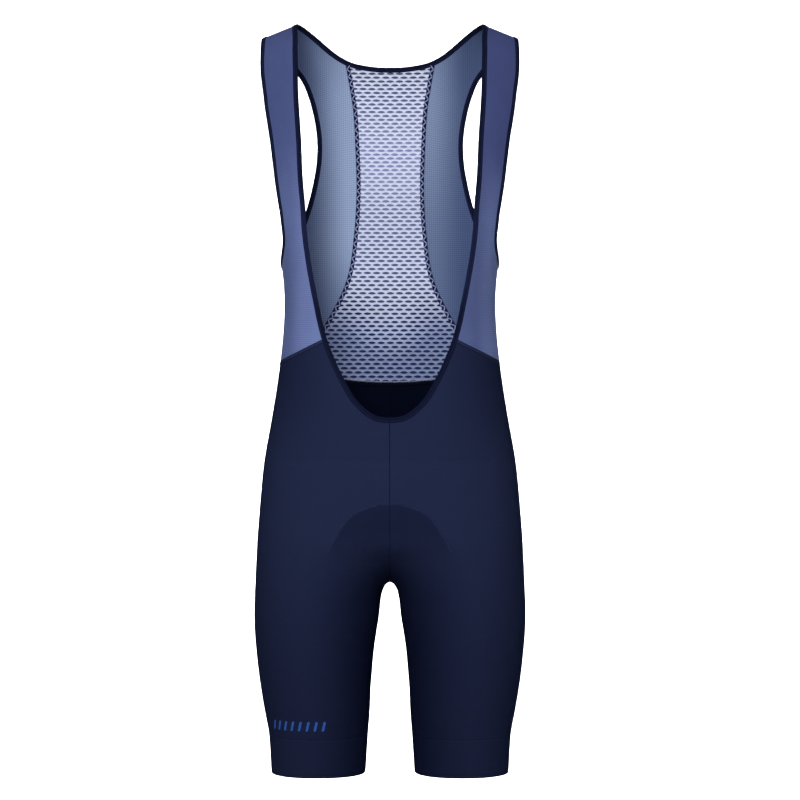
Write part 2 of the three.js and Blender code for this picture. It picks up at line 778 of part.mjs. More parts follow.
addPair("front_shorts", wall(eased(shortsPanel(-1)), CLOTH), COLOURS.navy);
addPair("back_shorts", wall(eased(shortsPanel(1)), CLOTH), COLOURS.navy);
addPair("leg_band", wall(eased(bandPanel(), true), BAND_CLOTH, true), COLOURS.navy);
addPair("bib_strap", wall(eased(bibPanel()), CLOTH), COLOURS.indigo);
addPair("back_side", wall(eased(backSidePanel()), CLOTH), COLOURS.steel);
add("back_mesh", wall(eased(meshPanel()), MESH_CLOTH), COLOURS.lavender);
add("neck_binding", neckBinding(), COLOURS.binding);
addPair("armhole_binding", armBinding(), COLOURS.binding);
add("pad", wall(padPanel(), PAD_THICKNESS), COLOURS.pad);

export default garment;
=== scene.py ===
"""Cycling bib shorts, filled out as when worn, with nobody inside.

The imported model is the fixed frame. Each of its walls is shown here by a finer thin shell of cloth on the same form,
and this script adds what the walls leave out: the holes of the mesh, seams, stitches, bindings and finishes.
The figure's sizes are in millimetres, as in the part's source, and turn into metres where a mesh is made.
"""

import math
import random

import bpy
import numpy as np
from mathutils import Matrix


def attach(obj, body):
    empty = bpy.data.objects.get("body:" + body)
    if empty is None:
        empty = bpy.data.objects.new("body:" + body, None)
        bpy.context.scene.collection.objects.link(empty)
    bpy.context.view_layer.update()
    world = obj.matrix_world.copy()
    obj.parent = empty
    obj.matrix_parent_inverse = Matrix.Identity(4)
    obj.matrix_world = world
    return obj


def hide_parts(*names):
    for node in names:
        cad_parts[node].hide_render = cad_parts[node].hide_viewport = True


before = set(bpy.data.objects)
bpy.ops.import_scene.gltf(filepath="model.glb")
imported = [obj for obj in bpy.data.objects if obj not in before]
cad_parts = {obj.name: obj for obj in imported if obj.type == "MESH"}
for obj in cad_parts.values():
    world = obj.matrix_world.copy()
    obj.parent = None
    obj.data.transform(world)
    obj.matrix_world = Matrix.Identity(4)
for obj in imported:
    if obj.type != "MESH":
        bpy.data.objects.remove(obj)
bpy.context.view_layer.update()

METRE = 0.001
BODY = "root"

# Driving dimensions, as in the part's source
CLOTH = 2.0
MESH_CLOTH = 1.6
BAND_CLOTH = 2.4
PAD_THICKNESS = 6
PAD_CLEARANCE = 2.2
BINDING_WIDTH = 6.5
BINDING_THICKNESS = 2.8
SIDE_WAIST_Z = -422
BACK_WAIST_Z = -446
YOKE_Z = -545
BAND_TOP_Z = -886
HEM_Z = -934
SHOULDER_SEAM_REACH = -12
ROUNDNESS = 2.2
ARCH = 90
RIDGE_Y = 5
RIDGE_TOP = 53.5
RIDGE_SLOPE = 0.43
RIDGE_NECK = 50
RIDGE_FADE_END = 300
MESH_FOOT_X = 112
PAD_FRONT_Z = -597
PAD_BACK_Z = -590
LONGEST_RAY = 260
SHELL = 1.2

# How many fine cells each stretch of a seam is cut into
STRAP_SEAM_CELLS = 34
NECK_FRONT_CELLS = 60
SIDE_SEAM_CELLS = 36
ARMHOLE_CELLS = 90
BACK_NECK_CELLS = 34
BACK_SIDE_CELLS = 48
MESH_HALF_CELLS = 46
YOKE_CELLS = 60
SEAT_CELLS = 84
LEG_CELLS = 96
BAND_CELLS = 20
PAD_HALF_CELLS = 26
PAD_CELLS = 64
SADDLE_CROWDING = 1.5
INNER_CROWDING = 1.1
TOP_CROWDING = 1.35

# Torso, hips and legs: z, half width, depth to the front and to the back of the side seam
FIGURE = (
    (0, 176, 62, 78),
    (-60, 175, 66, 84),
    (-100, 174, 80, 91),
    (-150, 170, 92, 97),
    (-200, 163, 100, 99),
    (-250, 150, 105, 98),
    (-300, 135.6, 105, 93),
    (-345, 131.3, 102, 86),
    (-382, 132.5, 100, 80),
    (-420, 136.2, 99, 78),
    (-457, 141.3, 99, 82),
    (-495, 147.5, 99, 91),
    (-545, 156.3, 98, 104),
    (-595, 161.3, 96, 114),
    (-645, 165, 93, 117),
    (-695, 167.5, 90, 111),
    (-745, 168.8, 87, 103),
    (-795, 165, 83, 94),
    (-845, 158, 76, 84),
    (-886, 150.6, 69, 75),
    (-934, 147.3, 63, 68),
)

# z, how far each leg's middle stands from the centre plane, and how softly the legs run together
STANCE = (
    (-545, 0, 0),
    (-570, 22, 0.06),
    (-600, 45, 0.12),
    (-625, 61, 0.2),
    (-650, 74, 0.3),
    (-670, 81, 0.235),
    (-697, 87.9, 0.15),
    (-745, 92.3, 0.15),
    (-771, 93.4, 0.15),
    (-821, 92.9, 0.15),
    (-886, 89.3, 0.15),
    (-934, 89.3, 0.15),
)

# The opening edge of the neckline, from the centre front over the shoulder to the centre back
NECK_EDGE = (
    dict(x=0, z=-491.2),
    dict(x=15.7, z=-489),
    dict(x=38.8, z=-471.2),
    dict(x=54.6, z=-445.7),
    dict(x=66.8, z=-420.2),
    dict(x=76.7, z=-394.6, mark="strap seam"),
    dict(x=86.3, z=-355.7),
    dict(x=96.2, z=-304.4),
    dict(x=103.6, z=-226),
    dict(x=107.5, z=-164.5),
    dict(x=112.6, z=-76.4),
    dict(x=114, z=-28),
    dict(x=112.5, reach=SHOULDER_SEAM_REACH, mark="shoulder"),
    dict(x=101, z=-5.3, back=True),
    dict(x=90.2, z=-12.7, back=True),
    dict(x=79, z=-21.3, back=True),
    dict(x=65.8, z=-30.3, back=True),
    dict(x=52, z=-37, back=True, mark="mesh"),
    dict(x=28, z=-42, back=True),
    dict(x=0, z=-43.5, back=True),
)

# The opening edge of the armhole, from the underarm up the front and down the back; turn 0 is the side seam
ARM_EDGE = (
    dict(turn=0, z=-300),
    dict(turn=0.2, z=-293),
    dict(x=131.6, z=-273),
    dict(x=133.8, z=-249),
    dict(x=137.5, z=-224.5),
    dict(x=147.6, z=-150),
    dict(x=155.4, z=-100),
    dict(x=160.9, z=-46),
    dict(x=158, reach=SHOULDER_SEAM_REACH, mark="shoulder"),
    dict(x=143, z=-31, back=True),
    dict(x=126, z=-48, back=True),
    dict(x=113, z=-64, back=True),
    dict(x=103.4, z=-87, back=True),
    dict(x=97.4, z=-111, back=True),
    dict(x=93.8, z=-142, back=True),
    dict(x=97.9, z=-187, back=True),
    dict(x=106.9, z=-225, back=True),
    dict(x=118, z=-257, back=True),
    dict(x=129, z=-282, back=True),
    dict(turn=0.16, z=-297, back=True),
    dict(turn=0, z=-300, back=True),
)

# The seam between the mesh and the back side panel, from the neck down to the back waist
MESH_SEAM = (
    dict(x=45, z=-99.9, back=True),
    dict(x=42.6, z=-140, back=True),
    dict(x=41.2, z=-212.5, back=True),
    dict(x=44.4, z=-260, back=True),
    dict(x=55.3, z=-322, back=True),
    dict(x=82, z=-376.4, back=True),
)

# The pad's outline: share of the way from the front, between the legs, to the back, and half width there
PAD_OUTLINE = (
    (0, 14),
    (1 / 16, 38),
    (2 / 16, 54),
    (4 / 16, 64),
    (6 / 16, 54),
    (8 / 16, 40),
    (10 / 16, 50),
    (12 / 16, 68),
    (14 / 16, 70),
    (15 / 16, 54),
    (1, 22),
)


# Curves and tables


def through(places, values):
    """A smooth curve through known values, as a function of arrays."""
    places = np.array(places, float)
    values = np.array(values, float)
    steps = np.diff(places)
    slopes = np.diff(values) / steps
    last = len(places) - 1
    lean = np.empty(last + 1)
    lean[0] = slopes[0]
    lean[last] = slopes[-1]
    lean[1:last] = (steps[1:] * slopes[:-1] + steps[:-1] * slopes[1:]) / (steps[:-1] + steps[1:])

    def at(place):
        place = np.asarray(place, float)
        i = np.clip(np.searchsorted(places, place) - 1, 0, last - 1)
        t = (place - places[i]) / steps[i]
        rest = 1 - t
        return (
            values[i] * (1 + 2 * t) * rest**2
            + lean[i] * steps[i] * t * rest**2
            + values[i + 1] * (3 - 2 * t) * t**2
            - lean[i + 1] * steps[i] * rest * t**2
        )

    return at


def column(table, index):
    rows = sorted(table)
    return through([r[0] for r in rows], [r[index] for r in rows])


half_width = column(FIGURE, 1)
front_depth = column(FIGURE, 2)
back_depth = column(FIGURE, 3)
stance_apart = column(STANCE, 1)
stance_blend = column(STANCE, 2)
pad_half = column(PAD_OUTLINE, 1)


def power(value, exponent):
    return np.sign(value) * np.abs(value) ** exponent


def mix(a, b, t):
    return a + (b - a) * t


def step_up(value, low, high):
    """0 below low, 1 above high, and smooth between."""
    t = np.clip((value - low) / (high - low), 0, 1)
    return t * t * (3 - 2 * t)


def unit(v):
    return v / np.maximum(np.linalg.norm(v, axis=-1, keepdims=True), 1e-12)


# Torso: a place is (turn, reach). Turn runs from 0 at the side seam to a right angle at the centre, and reach is
# the way down the surface from the shoulder ridge, positive in front and negative behind.


def ridge_height(x):
    return RIDGE_TOP - RIDGE_SLOPE * np.hypot(x, RIDGE_NECK)


def ridge_share(drop):
    return 1 - step_up(drop, 0, RIDGE_FADE_END)


def drop_of(reach):
    way = np.abs(reach)
    quarter = ARCH * math.pi / 2
    return np.where(way < quarter, ARCH * (1 - np.cos(np.minimum(way / ARCH, math.pi / 2))), ARCH + way - quarter)


def reach_of(drop):
    if drop >= ARCH:
        return ARCH * math.pi / 2 + drop - ARCH
    return ARCH * math.acos(1 - max(drop, 0) / ARCH)


def torso(places):
    turn = places[..., 0]
    reach = places[..., 1]
    drop = drop_of(reach)
    arch = np.sin(np.minimum(np.abs(reach) / ARCH, math.pi / 2))
    depth = np.where(reach >= 0, -front_depth(-drop), back_depth(-drop))
    x = half_width(-drop) * power(np.cos(turn), 2 / ROUNDNESS)
    y = depth * power(np.sin(turn), 2 / ROUNDNESS)
    z = ridge_height(x) * ridge_share(drop) - drop
    return np.stack([x, RIDGE_Y * (1 - arch) + y * arch, z], -1)


def torso_slopes(places):
    d_turn = np.array([0.01, 0.0])
    d_reach = np.array([0.0, 1.0])
    along_turn = (torso(places + d_turn) - torso(places - d_turn)) / (2 * d_turn[0])
    along_reach = (torso(places + d_reach) - torso(places - d_reach)) / (2 * d_reach[1])
    return along_turn, along_reach


def torso_normal(places):
    along_turn, along_reach = torso_slopes(places)
    return unit(np.cross(along_turn, along_reach))


def place_at(guide):
    """The place on the torso at a guide's width and height, in front or behind."""
    sign = -1 if guide.get("back") else 1
    reach = guide.get("reach")
    if reach is None:
        low = 0.0
        high = 700.0
        ridge = ridge_height(guide.get("x", half_width(guide["z"])))
        for _ in range(50):
            drop = (low + high) / 2
            if ridge * ridge_share(drop) - drop > guide["z"]:
                low = drop
            else:
                high = drop
        reach = sign * reach_of((low + high) / 2)
    turn = guide.get("turn")
    if turn is None:
        share = min(guide["x"] / float(half_width(-drop_of(reach))), 1)
        turn = math.acos(share ** (ROUNDNESS / 2))
    return np.array([turn, reach], float)


def settle(places, targets):
    """Moves places on the torso until they meet the target points."""
    places = places.copy()
    for _ in range(6):
        off = targets - torso(places)
        a, b = torso_slopes(places)
        aa = (a * a).sum(-1)
        ab = (a * b).sum(-1)
        bb = (b * b).sum(-1)
        det = aa * bb - ab * ab
        oa = (off * a).sum(-1)
        ob = (off * b).sum(-1)
        places[..., 0] += (oa * bb - ob * ab) / det
        places[..., 1] += (ob * aa - oa * ab) / det
    return places


def lengths_along(points):
    return np.concatenate([[0], np.cumsum(np.linalg.norm(np.diff(points, axis=0), axis=-1))])


def edge_curve(places, before=None, after=None):
    """A curve on the torso through guide places. The ghosts before and after set its direction at the ends."""
    ghosts = [before] if before is not None else []
    tail = [after] if after is not None else []
    every = np.array(ghosts + list(places) + tail)
    way = lengths_along(torso(every))
    turn = through(way, every[:, 0])
    reach = through(way, every[:, 1])
    first = len(ghosts)
    return (lambda w: np.stack([turn(w), reach(w)], -1)), way[first : first + len(places)]


def stations(curve, start, end, cells):
    """Places at equal steps along a curve from one guide to another."""
    at, way = curve
    samples = np.linspace(way[start], way[end], 12 * cells + 1)
    lengths = lengths_along(torso(at(samples)))
    return at(np.interp(np.linspace(0, lengths[-1], cells + 1), lengths, samples))


def across_at(places, side, before, after):
    """The direction along the cloth, square to a line of places. Side 1 or -1 chooses which way."""
    points = torso(np.concatenate([before[None], places, after[None]]))
    along = points[2:] - points[:-2]
    return side * unit(np.cross(along, torso_normal(places)))


def beside(places, side, before, after, distance):
    """Places at a distance from a line, along the cloth."""
    across = across_at(places, side, before, after)
    return settle(places, torso(places) + across * distance)


def over(places):
    """The same places on the other half."""
    return np.stack([math.pi - places[..., 0], places[..., 1]], -1)


def past_side(place):
    return np.array([-place[0], place[1]])


def line(a, b, shares):
    """Places on a straight line from a to b, at the given shares of the way or at that many equal steps."""
    t = np.linspace(0, 1, shares + 1) if isinstance(shares, int) else shares
    return mix(np.asarray(a)[None], np.asarray(b)[None], t[:, None])


def patch(bottom, top, left, right, shares=None):
    """A patch of the torso between four lines of places that share their corners."""
    u = np.linspace(0, 1, len(bottom))[None, :, None]
    v = (np.linspace(0, 1, len(left)) if shares is None else shares)[:, None, None]
    corners = mix(mix(bottom[0], bottom[-1], u), mix(top[0], top[-1], u), v)
    return mix(bottom[None], top[None], v) + mix(left[:, None], right[:, None], u) - corners


# Hips and legs: a field that is below zero inside and above zero outside


def leg_field(p):
    x, y, z = p[..., 0], p[..., 1], p[..., 2]
    stand = np.maximum(stance_apart(z), 0)
    half = half_width(z) - stand
    depth = np.where(y < 0, front_depth(z), back_depth(z))
    soft = np.maximum(stance_blend(z), 1e-4)
    deep = np.abs(y / depth) ** ROUNDNESS
    near = (np.abs((x - stand) / half) ** ROUNDNESS + deep) ** (1 / ROUNDNESS) - 1
    far = (np.abs((x + stand) / half) ** ROUNDNESS + deep) ** (1 / ROUNDNESS) - 1
    return np.minimum(near, far) - soft * np.log1p(np.exp(-np.abs(near - far) / soft))


def leg_slope(p):
    d = 0.05
    steps = np.eye(3) * d
    return np.stack([(leg_field(p + s) - leg_field(p - s)) / (2 * d) for s in steps], -1)


def crotch_height():
    low = -745.0
    high = -650.0
    for _ in range(50):
        z = (low + high) / 2
        if leg_field(np.array([0.0, 0.0, z])) > 0:
            low = z
        else:
            high = z
    return (low + high) / 2


CROTCH_Z = crotch_height()


def centre_depth(z, side):
    """Depth of the cloth in the centre plane, above the crotch."""
    stand = np.maximum(stance_apart(z), 0)
    half = half_width(z) - stand
    depth = front_depth(z) if side < 0 else back_depth(z)
    room = (1 + np.maximum(stance_blend(z), 0) * math.log(2)) ** ROUNDNESS - (stand / half) ** ROUNDNESS
    return depth * np.maximum(room, 0) ** (1 / ROUNDNESS)


def leg_row(z, side, cells):
    """One level of a half leg, from the side seam round the front (side -1) or back (side 1) to the inner seam."""
    stand = max(float(stance_apart(z)), 0)
    above = z > CROTCH_Z
    end = math.atan2(float(centre_depth(z, side)), -stand) if above else math.pi
    angle = np.linspace(0, end, 6 * cells + 1)
    low = np.zeros_like(angle)
    inner = np.where(angle > math.pi / 2, -stand / np.minimum(np.cos(angle), -1e-9), LONGEST_RAY)
    high = np.minimum(inner, LONGEST_RAY)
    height = np.full_like(angle, z)
    for _ in range(36):
        r = (low + high) / 2
        inside = leg_field(np.stack([stand + r * np.cos(angle), side * r * np.sin(angle), height], -1)) < 0
        low = np.where(inside, r, low)
        high = np.where(inside, high, r)
    points = np.stack([stand + low * np.cos(angle), side * low * np.sin(angle), height], -1)
    lengths = lengths_along(points)
    want = lengths[-1] * (1 - (1 - np.linspace(0, 1, cells + 1)) ** INNER_CROWDING)
    row = np.stack([np.interp(want, lengths, points[:, k]) for k in range(3)], -1)
    if above:
        row[-1, 0] = 0
    return row


def levels(start, end, cells):
    """Heights that crowd towards the crotch, where the cloth turns fastest."""
    return mix(end, start, (1 - np.linspace(0, 1, cells + 1)) ** SADDLE_CROWDING)


# The edges and seams as lines of places, on the wearer's left half


def mark(table, name):
    return next(i for i, row in enumerate(table) if row.get("mark") == name)


neck_places = [place_at(g) for g in NECK_EDGE]
neck_curve = edge_curve(neck_places, over(neck_places[1]), over(neck_places[-2]))
arm_places = [place_at(g) for g in ARM_EDGE]
arm_top = mark(ARM_EDGE, "shoulder")
arm_front_curve = edge_curve(arm_places[: arm_top + 1], past_side(arm_places[1]), arm_places[arm_top + 1])
arm_back_curve = edge_curve(arm_places[arm_top:], arm_places[arm_top - 1], past_side(arm_places[-2]))

strap_rows = SIDE_SEAM_CELLS + ARMHOLE_CELLS
neck_half = np.concatenate(
    [
        stations(neck_curve, 0, mark(NECK_EDGE, "strap seam"), NECK_FRONT_CELLS),
        stations(neck_curve, mark(NECK_EDGE, "strap seam"), mark(NECK_EDGE, "shoulder"), strap_rows)[1:],
        stations(neck_curve, mark(NECK_EDGE, "shoulder"), mark(NECK_EDGE, "mesh"), BACK_NECK_CELLS)[1:],
        stations(neck_curve, mark(NECK_EDGE, "mesh"), len(NECK_EDGE) - 1, MESH_HALF_CELLS)[1:],
    ]
)
strap_at = NECK_FRONT_CELLS
shoulder_at = strap_at + strap_rows
mesh_at = shoulder_at + BACK_NECK_CELLS
neck_cloth = beside(neck_half, 1, over(neck_half[1]), over(neck_half[-2]), BINDING_WIDTH - 1)

arm_half = np.concatenate(
    [
        stations(arm_front_curve, 0, arm_top, ARMHOLE_CELLS),
        stations(arm_back_curve, 0, len(ARM_EDGE) - 1 - arm_top, ARMHOLE_CELLS)[1:],
    ]
)
arm_cloth = beside(arm_half, -1, past_side(arm_half[1]), past_side(arm_half[-2]), BINDING_WIDTH - 1)
arm_cloth[0, 0] = 0
arm_cloth[-1, 0] = 0

side_waist = place_at(dict(turn=0, z=SIDE_WAIST_Z))
side_yoke = place_at(dict(turn=0, z=YOKE_Z))


def strap_seam():
    """The strap seam rises from the side seam to the neckline."""
    end = neck_cloth[strap_at]
    turns = np.linspace(0, end[0], STRAP_SEAM_CELLS + 1)
    width = torso(np.stack([turns, np.full_like(turns, side_waist[1])], -1))[:, 0]
    share = (width[0] - width) / (width[0] - width[-1])
    heights = mix(torso(side_waist)[2], torso(end)[2], share)
    return np.array([place_at(dict(turn=t, z=z)) for t, z in zip(turns, heights)])


def back_waist(start, end, cells):
    """The back waist seam falls a little from the side seam to the centre back."""
    turns = np.linspace(start, end, cells + 1)
    heights = mix(SIDE_WAIST_Z, BACK_WAIST_Z, np.sin(turns) ** 2)
    return np.array([place_at(dict(turn=t, z=z, back=True)) for t, z in zip(turns, heights)])


mesh_foot = place_at(dict(x=MESH_FOOT_X, z=mix(SIDE_WAIST_Z, BACK_WAIST_Z, math.sin(0.6) ** 2), back=True))
strap_seam_line = strap_seam()
back_waist_outer = back_waist(0, mesh_foot[0], BACK_SIDE_CELLS)
back_waist_inner = back_waist(mesh_foot[0], math.pi / 2, MESH_HALF_CELLS)
mesh_seam_curve = edge_curve([neck_cloth[mesh_at]] + [place_at(g) for g in MESH_SEAM] + [back_waist_inner[0]])
mesh_seam_line = stations(mesh_seam_curve, 0, len(MESH_SEAM) + 1, strap_rows - BACK_NECK_CELLS)


# Meshes


def new_object(name, vertices, faces, uvs=None, tone=None, inner=None):
    """A mesh in metres from millimetre points. The uvs and the tone, which holds painted shade and light, are one
    value for each vertex, and inner marks the faces that take the second material."""
    mesh = bpy.data.meshes.new(name)
    mesh.from_pydata((np.asarray(vertices) * METRE).tolist(), [], [list(face) for face in faces])
    mesh.polygons.foreach_set("use_smooth", np.ones(len(mesh.polygons), bool))
    if uvs is not None:
        corner = np.empty(len(mesh.loops), np.int32)
        mesh.loops.foreach_get("vertex_index", corner)
        layer = mesh.uv_layers.new(name="cloth")
        layer.data.foreach_set("uv", (np.asarray(uvs) * METRE)[corner].astype(np.float32).ravel())
    if tone is not None:
        attribute = mesh.attributes.new("tone", "FLOAT", "POINT")
        attribute.data.foreach_set("value", np.asarray(tone, np.float32).ravel())
    if inner is not None:
        mesh.polygons.foreach_set("material_index", np.asarray(inner, np.int32))
    obj = bpy.data.objects.new(name, mesh)
    bpy.context.scene.collection.objects.link(obj)
    return obj


def grid_faces(rows, cols, wrap=False):
    """Quads of a grid of vertices, wound so that the side the normals point to is outside."""
    r, c = np.meshgrid(np.arange(rows - 1), np.arange(cols if wrap else cols - 1), indexing="ij")
    right = (c + 1) % cols
    return np.stack([r * cols + c, r * cols + right, (r + 1) * cols + right, (r + 1) * cols + c], -1).reshape(-1, 4)


def cloth_lengths(points):
    """Metric texture coordinates of a grid: millimetres across and along the cloth."""
    across = np.zeros(points.shape[:2])
    along = np.zeros(points.shape[:2])
    across[:, 1:] = np.cumsum(np.linalg.norm(np.diff(points, axis=1), axis=-1), axis=1)
    along[1:] = np.cumsum(np.linalg.norm(np.diff(points, axis=0), axis=-1), axis=0)
    middle = across.shape[1] // 2
    return np.stack([across - across[:, middle : middle + 1], np.repeat(along[:, middle : middle + 1], across.shape[1], 1)], -1)


def shell(name, points, normals, top, thickness, lift=0.0, tone=1.0, wrap=False, mirror=False, uv=None, within=None):
    """A closed thin shell. Its outer face lies top above the grid plus lift, its inner face a thickness below that.
    The inner face has the tone called within, or else the outer face's tone."""
    rows, cols = points.shape[:2]
    uv = cloth_lengths(points) if uv is None else uv
    raised = np.broadcast_to(np.asarray(top + lift, float), (rows, cols))[..., None]
    outer = points + normals * raised
    inner = points + normals * (raised - thickness)
    count = rows * cols
    vertices = np.concatenate([outer.reshape(-1, 3), inner.reshape(-1, 3)])
    quads = grid_faces(rows, cols, wrap)
    faces = [quads, quads[:, ::-1] + count]
    ring = np.arange(cols if wrap else cols - 1)
    after = (ring + 1) % cols
    last = (rows - 1) * cols
    faces.append(np.stack([ring, ring + count, after + count, after], -1))
    faces.append(np.stack([last + ring, last + after, last + after + count, last + ring + count], -1))
    if not wrap:
        down = np.arange(rows - 1) * cols
        end = down + cols - 1
        faces.append(np.stack([down, down + cols, down + cols + count, down + count], -1))
        faces.append(np.stack([end, end + count, end + cols + count, end + cols], -1))
    is_inner = np.concatenate([np.full(len(part), step == 1) for step, part in enumerate(faces)])
    faces = np.concatenate(faces)
    # The winding follows the normals: the first quad is compared with its vertex normal
    a, b, c = outer[0, 0], outer[0, 1], outer[1, 0]
    if np.dot(np.cross(b - a, c - a), normals[0, 0]) < 0:
        faces = faces[:, ::-1]
    if mirror:
        vertices = vertices * np.array([-1, 1, 1])
        faces = faces[:, ::-1]
    both = np.concatenate([uv.reshape(-1, 2)] * 2)
    within = tone if within is None else within
    tones = np.concatenate([np.broadcast_to(t, (rows, cols)).ravel() for t in (tone, within)])
    return new_object(name, vertices, faces, both, tones, is_inner)


def torso_grid(places):
    return torso(places), torso_normal(places)


def rolled_edge(rows, cols, sides, fall=0.7):
    """How far the cloth turns in at the sewn edges of a grid. Sides names the edges that turn in."""
    lift = np.zeros((rows, cols))
    for depth, share in enumerate((1.0, 0.4, 0.1)):
        if "top" in sides:
            lift[depth] = np.minimum(lift[depth], -fall * share)
        if "bottom" in sides:
            lift[-1 - depth] = np.minimum(lift[-1 - depth], -fall * share)
        if "left" in sides:
            lift[:, depth] = np.minimum(lift[:, depth], -fall * share)
        if "right" in sides:
            lift[:, -1 - depth] = np.minimum(lift[:, -1 - depth], -fall * share)
    return lift


def ribbon(points, across, normals, section, closed=False):
    """A closed bar along a line. Each row of the section is a distance across and a height."""
    section = np.array(section, float)
    ring = points[:, None] + across[:, None] * section[None, :, :1] + normals[:, None] * section[None, :, 1:]
    count, sides = ring.shape[:2]
    i, k = np.meshgrid(np.arange(count if closed else count - 1), np.arange(sides), indexing="ij")
    ahead = (i + 1) % count
    turned = (k + 1) % sides
    faces = np.stack([i * sides + k, ahead * sides + k, ahead * sides + turned, i * sides + turned], -1)
    faces = faces.reshape(-1, 4)
    vertices = ring.reshape(-1, 3)
    around = lengths_along(section)
    uv = np.stack(
        [np.repeat(lengths_along(points)[:, None], sides, 1), np.repeat(around[None], count, 0)], -1
    ).reshape(-1, 2)
    a, b, c = vertices[faces[:, 0]], vertices[faces[:, 1]], vertices[faces[:, 2]]
    if np.einsum("ij,ij->i", a - points[0], np.cross(b - points[0], c - points[0])).sum() < 0:
        faces = faces[:, ::-1]
        caps = [list(range(sides)), list(range(count * sides - 1, (count - 1) * sides - 1, -1))]
    else:
        caps = [list(range(sides))[::-1], list(range((count - 1) * sides, count * sides))]
    faces = faces.tolist() + ([] if closed else caps)
    return vertices, faces, uv


def round_section(radius, sides=6, flat=1.0):
    angles = np.arange(sides) / sides * 2 * math.pi
    return np.stack([radius * np.cos(angles), radius * flat * np.sin(angles)], -1)


def stitches(starts, ends, normals, radius):
    """Short threads from each start to each end, bowed a little outwards."""
    sides = 5
    way = ends - starts
    along = unit(way)
    across = unit(np.cross(along, normals))
    up = np.cross(across, along)
    angles = np.arange(sides) / sides * 2 * math.pi
    rings = []
    for share, size, bow in ((0, 0.35, -0.3), (0.2, 1, 0.2), (0.8, 1, 0.2), (1, 0.35, -0.3)):
        middle = starts + way * share + up * (bow * radius)
        around = across[:, None] * np.cos(angles)[None, :, None] + up[:, None] * np.sin(angles)[None, :, None]
        rings.append(middle[:, None] + around * radius * size)
    vertices = np.stack(rings, 1)
    count = len(starts)
    each = 4 * sides
    faces = []
    for ring in range(3):
        for k in range(sides):
            m = (k + 1) % sides
            faces.append([ring * sides + k, ring * sides + m, (ring + 1) * sides + m, (ring + 1) * sides + k])
    quads = (np.array(faces)[None] + (np.arange(count) * each)[:, None, None]).reshape(-1, 4).tolist()
    caps = np.array([list(range(sides))[::-1], list(range(3 * sides, 4 * sides))])
    caps = (caps[None] + (np.arange(count) * each)[:, None, None]).reshape(-1, sides).tolist()
    return vertices.reshape(-1, 3), quads + caps


def gathered(parts):
    """Several sets of vertices and faces as one."""
    vertices = []
    faces = []
    count = 0
    for points, some in parts:
        vertices.append(points)
        faces += [[i + count for i in face] for face in some]
        count += len(points)
    return np.concatenate(vertices), faces


def even_steps(points, others, pitch):
    """A line's points at even steps of about a pitch, with the values that go with each."""
    lengths = lengths_along(points)
    count = max(int(round(lengths[-1] / pitch)), 1)
    want = np.linspace(0, lengths[-1], count + 1)
    return [np.stack([np.interp(want, lengths, v[:, k]) for k in range(3)], -1) for v in (points, *others)]


# Materials


def material(name, colour, roughness=0.85, gloss=0.05):
    """A plain material, its node tree and its shader."""
    made = bpy.data.materials.new(name)
    made.use_nodes = True
    shader = made.node_tree.nodes["Principled BSDF"]
    shader.inputs["Base Color"].default_value = (*colour, 1)
    shader.inputs["Roughness"].default_value = roughness
    shader.inputs["Specular IOR Level"].default_value = gloss
    return made, made.node_tree, shader


def node(tree, kind, **settings):
    made = tree.nodes.new(kind)
    for key, value in settings.items():
        setattr(made, key, value)
    return made


def linear(red, green, blue):
    """Linear colour from the 0 to 255 values of a screen colour."""
    return tuple(((c / 255 + 0.055) / 1.055) ** 2.4 if c > 10 else c / 255 / 12.92 for c in (red, green, blue))


def metric_wave(tree, pitch, direction, detail=0.0):
    """Sine bands across the cloth, of a pitch in millimetres along direction X or Y of the cloth."""
    uv = node(tree, "ShaderNodeUVMap", uv_map="cloth")
    wave = node(tree, "ShaderNodeTexWave", wave_type="BANDS", bands_direction=direction, wave_profile="SIN")
    wave.inputs["Scale"].default_value = math.pi / 10 / (pitch * METRE)
    wave.inputs["Distortion"].default_value = detail
    tree.links.new(uv.outputs["UV"], wave.inputs["Vector"])
    return wave.outputs["Fac"]


def noise(tree, size, detail=2.0, stretch=(1, 1, 1)):
    """Noise with features of a size in millimetres on the cloth."""
    uv = node(tree, "ShaderNodeUVMap", uv_map="cloth")
    mapping = node(tree, "ShaderNodeMapping")
    mapping.inputs["Scale"].default_value = stretch
    made = node(tree, "ShaderNodeTexNoise")
    made.inputs["Scale"].default_value = 1 / (size * METRE)
    made.inputs["Detail"].default_value = detail
    tree.links.new(uv.outputs["UV"], mapping.inputs["Vector"])
    tree.links.new(mapping.outputs["Vector"], made.inputs["Vector"])
    return made.outputs["Fac"]


def ramp(tree, value, low, high, dark, light):
    """Two colours over a value."""
    made = node(tree, "ShaderNodeValToRGB")
    made.color_ramp.elements[0].position = low
    made.color_ramp.elements[1].position = high
    made.color_ramp.elements[0].color = (*dark, 1)
    made.color_ramp.elements[1].color = (*light, 1)
    tree.links.new(value, made.inputs["Fac"])
    return made.outputs["Color"]


def bump(tree, shader, heights):
    """Bumps laid one over the other: each is a value, its strength and its depth in millimetres."""
    normal = None
    for value, strength, depth in heights:
        made = node(tree, "ShaderNodeBump")
        made.inputs["Strength"].default_value = strength
        made.inputs["Distance"].default_value = depth * METRE
        tree.links.new(value, made.inputs["Height"])
        if normal is not None:
            tree.links.new(normal, made.inputs["Normal"])
        normal = made.outputs["Normal"]
    tree.links.new(normal, shader.inputs["Normal"])


def painted_shade_of(tree, low, high, dark, light):
    """A colour that follows the tone kept at each vertex, which is painted shade and light."""
    attribute = node(tree, "ShaderNodeAttribute", attribute_name="tone")
    return ramp(tree, attribute.outputs["Fac"], low, high, dark, light)


